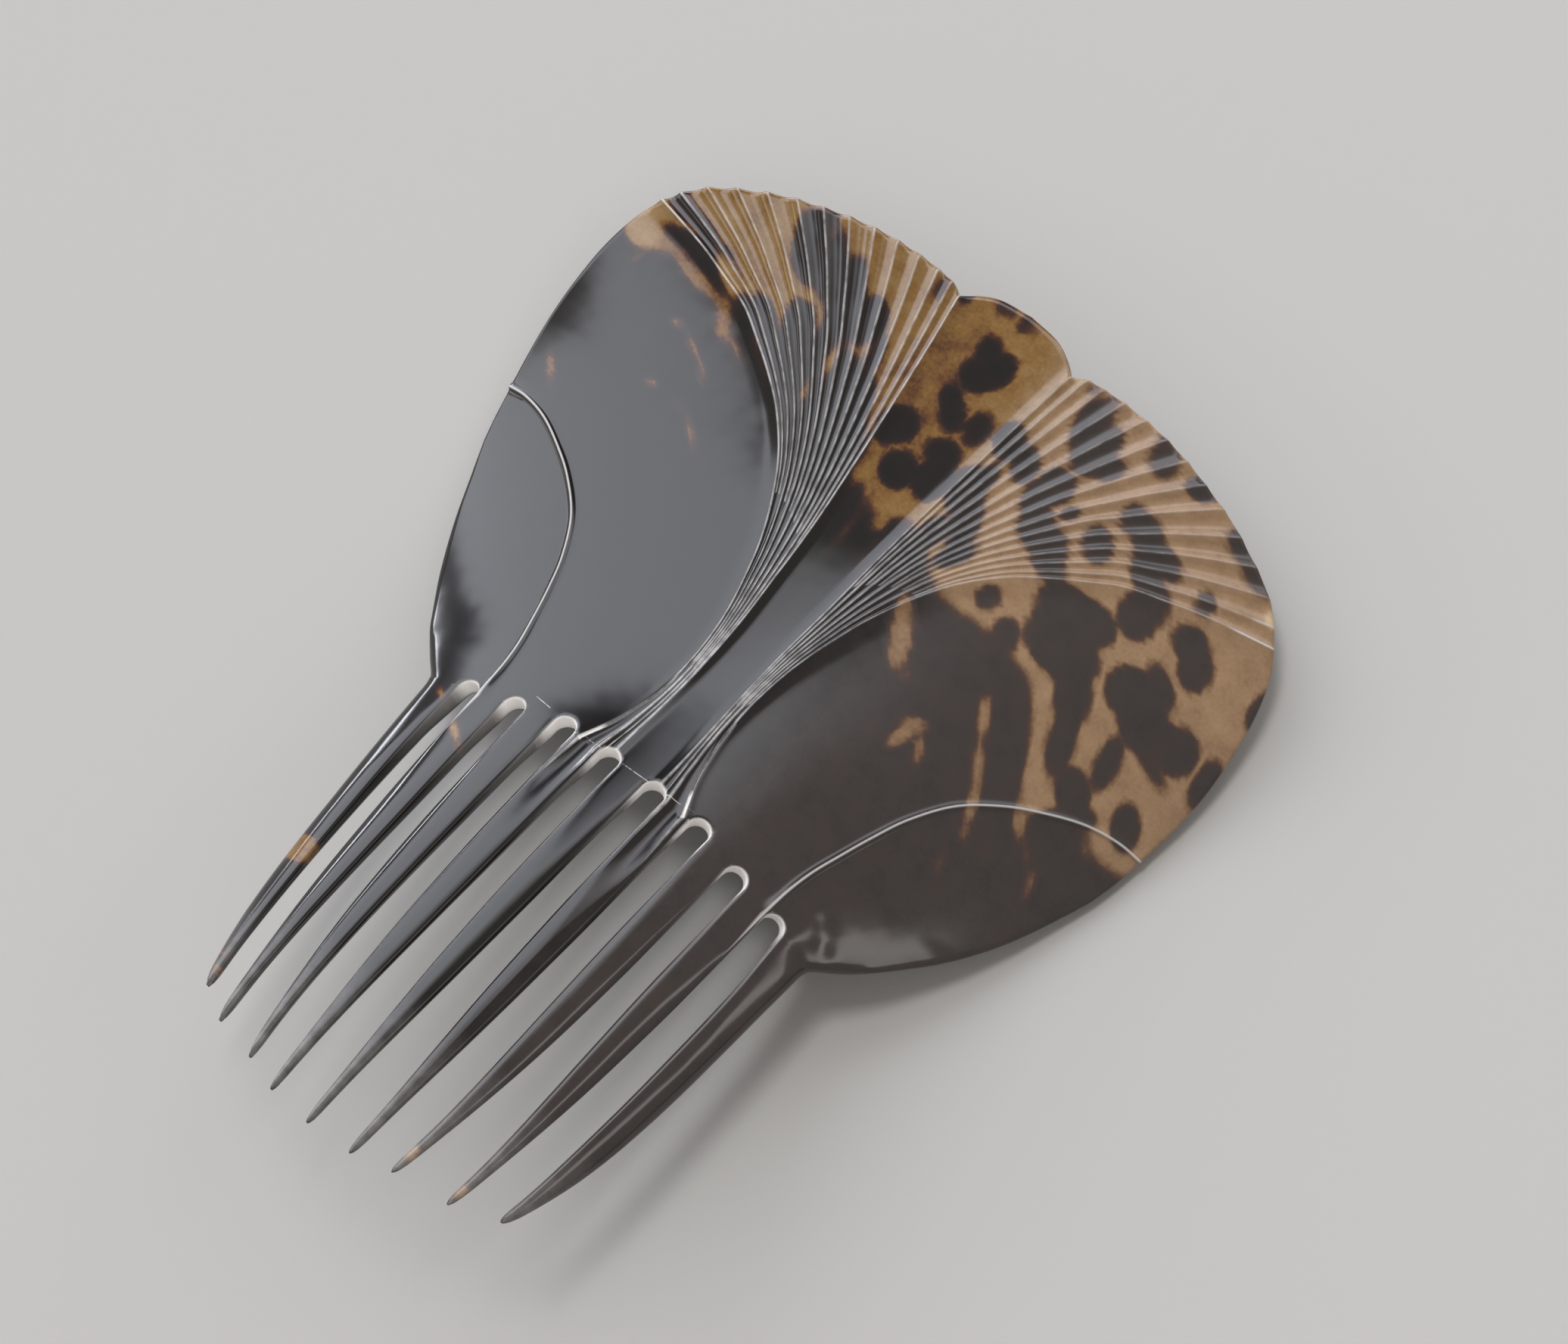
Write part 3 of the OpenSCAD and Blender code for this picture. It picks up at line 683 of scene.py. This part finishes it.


# the right half of the front is made of grids, each moved to its layout in flat millimetres
def addGrid(bm, columns, rowCount, place):
    made = bmesh.ops.create_grid(bm, x_segments=columns, y_segments=rowCount, size=1)
    for vert in made["verts"]:
        i = round((vert.co.x + 1) / 2 * columns)
        j = round((vert.co.y + 1) / 2 * rowCount)
        place(vert, i, j)


bm = bmesh.new()
middleLayer = bm.verts.layers.float.new("middle")
belowLayer = bm.verts.layers.float.new("below")
narrowLayer = bm.verts.layers.float.new("narrow")
gapLayer = bm.verts.layers.float.new("gap")
ridgeLayer = bm.verts.layers.float.new("ridge")
sawnAndLitLayer = bm.verts.layers.float.new("sawnAndLit")
toneLayer = bm.verts.layers.float.new("tone")
flatLayer = bm.verts.layers.float_vector.new("flat")


def addPatch(name):
    def place(vert, i, j):
        u, v, h, gap = headPoint(name, rows[j], i)
        vert.co = (u, v, h)
        vert[ridgeLayer] = gap
        vert[belowLayer] = headThickness(v)
        vert[narrowLayer] = 1

    addGrid(bm, columnCounts[name], len(rows) - 1, place)


def addTooth(t):
    roots = [headPoint(name, 0, column) for name, column in toothRoots[t]]

    def place(vert, i, j):
        u, v, h, middle, below, narrow, gap = toothPoint(t, roots, i, toothRows[-1 - j])
        vert.co = (u, v, h)
        vert[ridgeLayer] = gap
        vert[middleLayer] = middle
        vert[belowLayer] = below
        vert[narrowLayer] = narrow

    addGrid(bm, len(roots) - 1, len(toothRows) - 1, place)


for name in patches:
    addPatch(name)
for t in range(len(teeth)):
    addTooth(t)
onMiddle = 1e-5
seam = 0.012
for vert in bm.verts:
    if abs(vert.co.x) < onMiddle:
        vert.co.x = 0
bmesh.ops.remove_doubles(bm, verts=bm.verts[:], dist=seam)
bmesh.ops.mirror(bm, geom=bm.faces[:], matrix=Matrix(), axis="X")
bmesh.ops.remove_doubles(bm, verts=bm.verts[:], dist=seam)
for vert in bm.verts:
    if vert.co.x < 0:
        vert[middleLayer] = -vert[middleLayer]
print("front sheet:", len(bm.verts), "points")

# how far each point is from the outline
outline = [vert for vert in bm.verts if vert.is_boundary]
edgeTree = kdtree.KDTree(len(outline))
for i, vert in enumerate(outline):
    edgeTree.insert((vert.co.x, vert.co.y, 0), i)
edgeTree.balance()
nearEdge = 2.6
outlineStep = 1.3
farFromRidge = 9


def flatPoint(vert):
    return Vector((vert.co.x, vert.co.y, 0))


def edgeGap(vert):
    here = flatPoint(vert)
    best = nearEdge
    for _, i, gap in edgeTree.find_n(here, 4):
        if gap > nearEdge + outlineStep:
            continue
        for edge in outline[i].link_edges:
            if edge.is_boundary:
                a, b = (flatPoint(v) for v in edge.verts)
                side = b - a
                t = min(max((here - a).dot(side) / max(side.length_squared, 1e-12), 0), 1)
                best = min(best, (here - a - side * t).length)
    return best


def rounded(gap, radius):
    if gap >= radius:
        return 0
    return radius - math.sqrt(max(radius**2 - (radius - gap) ** 2, 0))


# the outer tooth's outer edge, from the waist down
def onShoulder(u, v):
    return rising(abs(u), 32.6, 1) * rising(v, 3, -4) * rising(v, -55, 30)


# how far the front's edge is rounded, in millimetres
def easeOf(u, v):
    head = mix(comb["slotEase"], comb["rimEase"], rising(v, 2, 10))
    ease = mix(comb["toothEase"], head, rising(v, -4, 4))
    return mix(ease, comb["shoulderEase"], onShoulder(u, v))


def facet(u, v, gap):
    inside = comb["shoulderEase"] + comb["shoulderFacet"] - gap
    return comb["facetSlope"] * max(inside, 0) * onShoulder(u, v)


filletAbove, filletBelow = 1.4, 1.9


# the waist's inner corner is rounded: how far a point there moves outwards
def fillet(u, v):
    reach = filletAbove if v > waist[1] else filletBelow
    near = max(1 - abs(v - waist[1]) / reach, 0)
    return math.copysign(comb["waistFillet"] * near**2 * rising(abs(u), 31, 5), u)


# the carver's scoops at the right waist: the front falls away below a bent line, then single dents
waistLine = {"from": 20, "u": 33, "v": 3, "slope": 0.62, "bend": 0.016, "drop": 0.07, "fall": 0.03}
scoopColumns = ["u", "v", "reach", "depth"]
scoops = [
    (32.6, 1.6, 1.5, 0.11), (35.2, -1.2, 1.5, 0.12), (33.6, -3.9, 1.5, 0.1), (25.6, -0.6, 1.2, 0.08),
]


def scooped(u, v):
    if u < waistLine["from"]:
        return 0
    along = u - waistLine["u"]
    below = (waistLine["v"] + waistLine["slope"] * along - waistLine["bend"] * along**2 - v) * 0.9
    fall = waistLine["drop"] * rising(below, -2.6, 2.2) + waistLine["fall"] * max(below - 0.5, 0)
    depth = fall * rising(u, 31, 4) * rising(v, -8, 6)
    for values in scoops:
        b = dict(zip(scoopColumns, values))
        depth += b["depth"] * math.exp(-(((u - b["u"]) ** 2 + (v - b["v"]) ** 2) / b["reach"] ** 2))
    return depth


for vert in bm.verts:
    vert[gapLayer] = edgeGap(vert)
sheet = bm.verts[:]

# the back is one extrusion of the whole front; an edge takes at most these shares of the thickness
frontShare = 0.5
backShare = 0.4
made = bmesh.ops.extrude_face_region(bm, geom=bm.faces[:], use_keep_orig=True)
backVerts = [item for item in made["geom"] if isinstance(item, bmesh.types.BMVert)]
for vert in sheet:
    u, v, h = vert.co
    gap = vert[gapLayer]
    radius = min(easeOf(u, v), frontShare * vert[belowLayer])
    vert.co.z = h - rounded(gap, radius) - facet(u, v, gap) - scooped(u, v)
    vert.co.x += fillet(u, v)
for vert in backVerts:
    u, v, h = vert.co
    vert[ridgeLayer] = farFromRidge
    ease = mix(comb["backEase"], comb["rimEase"], rising(v, 2, 10))
    radius = min(ease, backShare * vert[belowLayer])
    vert.co.x = mix(vert[middleLayer], u, vert[narrowLayer]) + fillet(u, v)
    vert.co.z = -vert[belowLayer] + rounded(vert[gapLayer], radius)
bmesh.ops.recalc_face_normals(bm, faces=bm.faces[:])

# the slots' walls are pale sawn shell; a painted highlight makes them brighter at their ends and fades along
# the teeth
litSlotEnds = 0.78
sawnRest = 0.22
wallEdge = 0.3

# pigment and the flat layout are kept on the points, then everything is bent
for vert in bm.verts:
    u, v = vert.co.x, vert.co.y
    vert[flatLayer] = vert.co.copy()
    vert[toneLayer] = toneAt(u, v)
    pale = litSlotEnds * rising(v, -6, 3) + sawnRest * rising(v, -22, 17)
    inSlots = rising(abs(u), waist[0] - 1.5, -1) * (v < 2)
    vert[sawnAndLitLayer] = pale * inSlots * (1 - smooth(vert[gapLayer] / wallEdge))
for vert in bm.verts:
    vert.co = placed(vert.co)
bentSeam = 2e-6  # in metres from here on
bmesh.ops.remove_doubles(bm, verts=bm.verts[:], dist=bentSeam)
bmesh.ops.recalc_face_normals(bm, faces=bm.faces[:])

mesh = bpy.data.meshes.new("combBody")
bm.to_mesh(mesh)
bm.free()
for polygon in mesh.polygons:
    polygon.use_smooth = True
body = bpy.data.objects.new("combBody", mesh)
bpy.context.scene.collection.objects.link(body)
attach(body, "root")
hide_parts("comb")
print("comb body:", len(mesh.polygons), "faces")


def linear(code):
    parts = [int(code[i:i + 2], 16) / 255 for i in (1, 3, 5)]
    return [c / 12.92 if c <= 0.04045 else ((c + 0.055) / 1.055) ** 2.4 for c in parts] + [1.0]


# adds a node with its settings and links, and gives one of its outputs
def add(tree, kind, inputs=(), output=0, **settings):
    node = tree.nodes.new("ShaderNode" + kind)
    for key, value in settings.items():
        setattr(node, key, value)
    pairs = inputs.items() if isinstance(inputs, dict) else enumerate(inputs)
    for key, value in pairs:
        if isinstance(value, bpy.types.NodeSocket):
            tree.links.new(value, node.inputs[key])
        else:
            node.inputs[key].default_value = value
    return node.outputs[output]


# 1 where every value is inside its soft edge; an edge holds a value, where it is outside and
# where it is inside
def within(tree, *edges):
    parts = [add(tree, "MapRange", edge) for edge in edges]
    amount = parts[0]
    for part in parts[1:]:
        amount = add(tree, "Math", [amount, part], operation="MULTIPLY")
    return amount


def newMaterial(name):
    material = bpy.data.materials.new(name)
    material.use_nodes = True
    return material, material.node_tree, material.node_tree.nodes["Principled BSDF"]


# places on the shell are in flat millimetres, u across and v along
shell = {
    "honey": [
        (0.0, "#0A0706"), (0.2, "#120C0A"), (0.36, "#1E100C"), (0.5, "#3A2014"), (0.57, "#5E3D1C"),
        (0.65, "#725427"), (0.77, "#826742"), (0.88, "#907455"), (1.0, "#B09878"),
    ],
    # the right side's ramp: a brown whose darks are greyed and lifted as a painted sheen
    "brownAndSheen": [
        (0.0, "#181311"), (0.14, "#2B2522"), (0.27, "#332D2A"), (0.42, "#3D2E28"), (0.52, "#4F382B"),
        (0.62, "#6E533A"), (0.77, "#8C7053"), (0.88, "#997D60"), (1.0, "#B09878"),
    ],
    "brownSide": (4, 14),
    "cloudDepth": 0.3,
    "speckDepth": 0.22,
    # pale grey for worn crests and tips, with the painted highlights on them and on the arcs
    "wornHighlightColour": "#B8B5B2",
    "crestEdge": (0.22, 0.07),
    "crestWearAndHighlight": (0.35, 0.6, 0.3, 0.75),
    "leftHighlight": (2, 12, 1, 0.45),
    "arcSide": (15, 17),
    "arcSlant": -0.5,
    "arcWearAndHighlight": 0.85,
    "tipsFrom": (-44, -64),
    "tipWearAndHighlight": 0.55,
    "lineColour": "#C4C0BA",
    "lineLowest": (-4, -1.25),
    "lineBend": 0.0055,
    "lineCentre": -4.5,
    "lineEdge": (0.08, 0.02),
    "lineHalf": (14.5, 13.5),
    "lineBreaks": (0.46, 0.56),
    "lineWhiteness": 0.9,
    # near white: pale sawn shell with a painted highlight on the slot ends
    "sawnHighlightColour": "#F7F4EF",
    "refraction": 1.54,
    "polish": 0.12,
    "wornRoughness": 0.25,
    "dullSide": (5, 13),
    "dullFrom": (10, 26),
    "dullRoughness": 0.16,
    "sawnRoughness": 0.55,
    "waveHeight": 0.0003,
    "waveStrength": 0.25,
}
# the shell's noises: how many to a millimetre, detail, roughness
noises = {
    "clouds": (0.28, 4, 0.55),
    "specks": (1.6, 5, 0.65),
    "scuffsAndGlints": (0.5, 4, 0.5),
    "rubsAndGlints": (0.4, 3, 0.5),
    "breaks": (0.55, 3, 0.7),
    "waves": (0.09, 2, 0.5),
}

# hawksbill shell, cut from welded plates, carved, scraped and hand polished: the polish gives
# sharp reflections, the scraper left slow waves, and the crests of the ridges are scuffed grey with a
# painted highlight laid over the grey; the slots' ends are pale sawn shell, painted brighter as a highlight
tortoiseshell, tree, shader = newMaterial("polishedTortoiseshell")
flat = add(tree, "Attribute", output="Vector", attribute_name="flat")
tone, ridge, sawnAndLit = [
    add(tree, "Attribute", output="Fac", attribute_name=name) for name in ("tone", "ridge", "sawnAndLit")
]
across, along = add(tree, "SeparateXYZ", [flat]).node.outputs[:2]
noise = {}
for name, (perMillimetre, detail, roughness) in noises.items():
    sockets = {"Vector": flat, "Scale": perMillimetre, "Detail": detail, "Roughness": roughness}
    noise[name] = add(tree, "TexNoise", sockets)

# the mottling: clouds and specks move each tone to and fro, and the tone picks the colour
depths = {"clouds": shell["cloudDepth"], "specks": shell["speckDepth"]}
clouded, specked = [
    add(tree, "Math", [noise[name], depth, -depth / 2], operation="MULTIPLY_ADD")
    for name, depth in depths.items()
]
uneven = add(tree, "Math", [clouded, specked], operation="ADD")
mottled = add(tree, "Math", [tone, uneven], operation="ADD")
shades = []
for stops in (shell["honey"], shell["brownAndSheen"]):
    shade = add(tree, "ValToRGB", [mottled])
    elements = shade.node.color_ramp.elements
    while len(elements) < len(stops):
        elements.new(0.5)
    for element, (position, code) in zip(elements, stops):
        element.position = position
        element.color = linear(code)
    shades.append(shade)
# the right side takes the brown ramp, its darks lifted as a painted sheen
brownSheenShare = within(tree, (across, *shell["brownSide"]))
colour = add(tree, "Mix", {0: brownSheenShare, 6: shades[0], 7: shades[1]}, 2, data_type="RGBA")

# crests worn grey, with painted highlights that are brighter on the left, where the light falls; the arcs
# carry an even painted highlight, and the tips are rubbed paler by use and painted with a highlight
onCrest = within(tree, (ridge, *shell["crestEdge"]))
patchy = add(tree, "MapRange", [noise["scuffsAndGlints"], *shell["crestWearAndHighlight"]])
leftwards = add(tree, "MapRange", [across, *shell["leftHighlight"]])
patchy = add(tree, "Math", [patchy, leftwards], operation="MULTIPLY")
outwards = add(tree, "Math", [across], operation="ABSOLUTE")
outwards = add(tree, "Math", [along, shell["arcSlant"], outwards], operation="MULTIPLY_ADD")
onArc = add(tree, "MapRange", [outwards, *shell["arcSide"], 0, shell["arcWearAndHighlight"]])
wearAndHighlight = add(tree, "Math", [patchy, onArc], operation="MAXIMUM")
wearAndHighlight = add(tree, "Math", [onCrest, wearAndHighlight], operation="MULTIPLY")
nearTips = add(tree, "MapRange", [along, *shell["tipsFrom"], 0, shell["tipWearAndHighlight"]])
rubbedAndHighlit = add(tree, "Math", [nearTips, noise["rubsAndGlints"]], operation="MULTIPLY")
wearAndHighlight = add(tree, "Math", [wearAndHighlight, rubbedAndHighlit], operation="MAXIMUM")

# the marking-out line above the slots, a hair wide and broken
lineU, lineV = shell["lineLowest"]
offMiddle = add(tree, "Math", [across, -lineU], operation="ADD")
squared = add(tree, "Math", [offMiddle, offMiddle], operation="MULTIPLY")
lineAt = add(tree, "Math", [squared, shell["lineBend"], lineV], operation="MULTIPLY_ADD")
offLine = add(tree, "Math", [along, lineAt], operation="SUBTRACT")
offLine = add(tree, "Math", [offLine], operation="ABSOLUTE")
offCentre = add(tree, "Math", [across, -shell["lineCentre"]], operation="ADD")
offCentre = add(tree, "Math", [offCentre], operation="ABSOLUTE")
scribed = within(
    tree, (offLine, *shell["lineEdge"]), (offCentre, *shell["lineHalf"]),
    (noise["breaks"], *shell["lineBreaks"]),
)
scribed = add(tree, "Math", [scribed, shell["lineWhiteness"]], operation="MULTIPLY")
# the pale slot ends: sawn shell, brightened by a painted highlight
paleAndLit = add(tree, "Math", [sawnAndLit, specked, sawnAndLit], operation="MULTIPLY_ADD", use_clamp=True)
# the pale crests, arcs and tips carry painted highlights, and the slot ends a painted highlight too
for amount, code in (
    (wearAndHighlight, shell["wornHighlightColour"]), (scribed, shell["lineColour"]), (paleAndLit, shell["sawnHighlightColour"]),
):
    colour = add(tree, "Mix", {0: amount, 6: colour, 7: linear(code)}, 2, data_type="RGBA")
tree.links.new(colour, shader.inputs["Base Color"])

# the right side has lost some of its polish, down to the waist
duller = within(tree, (across, *shell["dullSide"]), (along, *shell["dullFrom"]))
rough = add(tree, "Math", [wearAndHighlight, shell["wornRoughness"], shell["polish"]], operation="MULTIPLY_ADD")
rough = add(tree, "Math", [duller, shell["dullRoughness"], rough], operation="MULTIPLY_ADD")
rough = add(tree, "Math", [paleAndLit, shell["sawnRoughness"], rough], operation="MULTIPLY_ADD")
tree.links.new(rough, shader.inputs["Roughness"])
shader.inputs["IOR"].default_value = shell["refraction"]
waves = {"Height": noise["waves"], "Strength": shell["waveStrength"], "Distance": shell["waveHeight"]}
tree.links.new(add(tree, "Bump", waves), shader.inputs["Normal"])
mesh.materials.append(tortoiseshell)
print("materials done")

# a plain pale floor, of smooth matt board: it gives a soft even light and no reflections
floorMaterial, tree, shader = newMaterial("paleBoard")
shader.inputs["Base Color"].default_value = linear("#B4B3B0")
shader.inputs["Roughness"].default_value = 0.9
floorMesh = bpy.data.meshes.new("floor")
floorBm = bmesh.new()
bmesh.ops.create_grid(floorBm, x_segments=1, y_segments=1, size=3)
floorBm.to_mesh(floorMesh)
floorBm.free()
floorMesh.materials.append(floorMaterial)
floor = bpy.data.objects.new("floor", floorMesh)
bpy.context.scene.collection.objects.link(floor)

# soft studio light: one box overhead, kept out of the reflections, and a bright wall of cloth
# to the left that is dark below and beyond the head's side. An area's edge gives where it is
# outside and where inside, along a direction of length 1
studio = {
    "level": 0.8,
    "sky": 0.6,
    "wall": 4.7,
    "dark": 0.25,
    "lowWall": 2.6,
    "strip": 22,
    "nearPanel": 3.4,
    "screen": 3.8,
    "skyColour": "#F6F1EE",
    "wallColour": "#EEF1FA",
    "wallAzimuth": 150,
    "wallSide": (0.2, 0.52),
    "wallSlant": -0.6,
    "wallFoot": (0.04, 0.065),
    "wallFootEnd": (0.33, 0.37),
    "wallTop": (0.765, 0.742),
    "wallNearEnd": (-0.14, -0.105),
    "wallFarEnd": (0.585, 0.545),
    "wallEndSide": (0.66, 0.48),
    "lowTop": (0.07, 0.05),
    "lowSide": (0.7, 0.8),
    "lowEnd": (0.13, 0.18),
    "stripTop": (0.05, 0.04),
    "panelTop": (0.45, 0.4),
    "panelEnd": (-0.19, -0.23),
    "panelSide": (0.2, 0.3),
    "screenTop": (0.71, 0.68),
    "screenFoot": (0.6, 0.62),
    "screenEnd": (0.14, 0.2),
    "screenSide": (0.58, 0.64),
    "keyAzimuth": 110,
    "keyElevation": 80,
    "keyDistance": 1.5,
    "keySize": 0.3,
    "keyWatts": 10,
}


def towards(azimuth, elevation):
    around, above = math.radians(azimuth), math.radians(elevation)
    level = math.cos(above)
    return Vector((math.cos(around) * level, math.sin(around) * level, math.sin(above)))


keyData = bpy.data.lights.new("keyBox", "AREA")
keyData.size = studio["keySize"]
keyData.energy = studio["level"] * studio["keyWatts"]
key = bpy.data.objects.new("keyBox", keyData)
keyWay = towards(studio["keyAzimuth"], studio["keyElevation"])
key.location = keyWay * studio["keyDistance"]
key.rotation_euler = keyWay.to_track_quat("Z", "Y").to_euler()
key.visible_glossy = False
bpy.context.scene.collection.objects.link(key)

world = bpy.data.worlds.new("studio")
world.use_nodes = True
bpy.context.scene.world = world
tree = world.node_tree
direction = add(tree, "TexCoord", output="Generated")
wayX, wayY, wayZ = add(tree, "SeparateXYZ", [direction]).node.outputs
wallWay = towards(studio["wallAzimuth"], 0)
facing = add(tree, "VectorMath", [direction, wallWay], "Value", operation="DOT_PRODUCT")

# the wall's foot and its top are slanting lines, and its two ends are upright ones
slanted = add(tree, "Math", [wayY, studio["wallSlant"], wayZ], operation="MULTIPLY_ADD")
aboveFoot = within(tree, (slanted, *studio["wallFoot"]))
pastFoot = within(tree, (wayY, *studio["wallFootEnd"]))
aboveFoot = add(tree, "Math", [aboveFoot, pastFoot], operation="MAXIMUM")
beforeEnd = within(tree, (wayY, *studio["wallFarEnd"]))
turnedAway = within(tree, (facing, *studio["wallEndSide"]))
beforeEnd = add(tree, "Math", [beforeEnd, turnedAway], operation="MAXIMUM")
onWall = within(
    tree, (facing, *studio["wallSide"]), (slanted, *studio["wallTop"]), (wayY, *studio["wallNearEnd"]),
)
brighter, above = studio["wall"] - studio["sky"], studio["sky"] - studio["dark"]
lit = add(tree, "Math", [onWall, brighter, above], operation="MULTIPLY_ADD")
lit = add(tree, "Math", [lit, aboveFoot], operation="MULTIPLY")
lit = add(tree, "Math", [lit, beforeEnd], operation="MULTIPLY")

# low on the left a dim wall with a bright strip, nearer to the camera a panel, which lights one
# side of each flute of the left fan, and on the right a screen halfway up
onLow = within(
    tree, (wayZ, *studio["lowTop"]), (facing, *studio["lowSide"]), (wayY, *studio["lowEnd"]),
)
inStrip = add(tree, "Math", [onLow, within(tree, (wayZ, *studio["stripTop"]))], operation="MULTIPLY")
onPanel = within(
    tree, (wayZ, *studio["panelTop"]), (wayY, *studio["panelEnd"]), (facing, *studio["panelSide"]),
)
onScreen = within(
    tree, (wayZ, *studio["screenTop"]), (wayZ, *studio["screenFoot"]), (wayY, *studio["screenEnd"]),
    (wayX, *studio["screenSide"]),
)
low = add(tree, "Math", [onLow, studio["lowWall"]], operation="MULTIPLY")
lit = add(tree, "Math", [lit, low], operation="MAXIMUM")
lit = add(tree, "Math", [inStrip, studio["strip"], lit], operation="MULTIPLY_ADD")
for amount, brightness in ((onPanel, studio["nearPanel"]), (onScreen, studio["screen"])):
    glow = add(tree, "Math", [amount, brightness], operation="MULTIPLY")
    lit = add(tree, "Math", [lit, glow], operation="MAXIMUM")
lit = add(tree, "Math", [lit, studio["dark"]], operation="ADD")
strength = add(tree, "Math", [lit, studio["level"]], operation="MULTIPLY")
tints = {0: onWall, 6: linear(studio["skyColour"]), 7: linear(studio["wallColour"])}
background = tree.nodes["Background"]
tree.links.new(add(tree, "Mix", tints, 2, data_type="RGBA"), background.inputs["Color"])
tree.links.new(strength, background.inputs["Strength"])

# the camera, where the photograph was taken from
cameraData = bpy.data.cameras.new("camera")
cameraData.lens = 149.4
cameraData.sensor_width = 36
camera = bpy.data.objects.new("camera", cameraData)
camera.location = (0.27165, -0.06935, 0.84989)
camera.rotation_euler = [math.radians(a) for a in (15.425, 10.38, 39.51)]
bpy.context.scene.collection.objects.link(camera)
bpy.context.scene.camera = camera
bpy.context.scene.view_settings.view_transform = "Standard"
print("stage done")
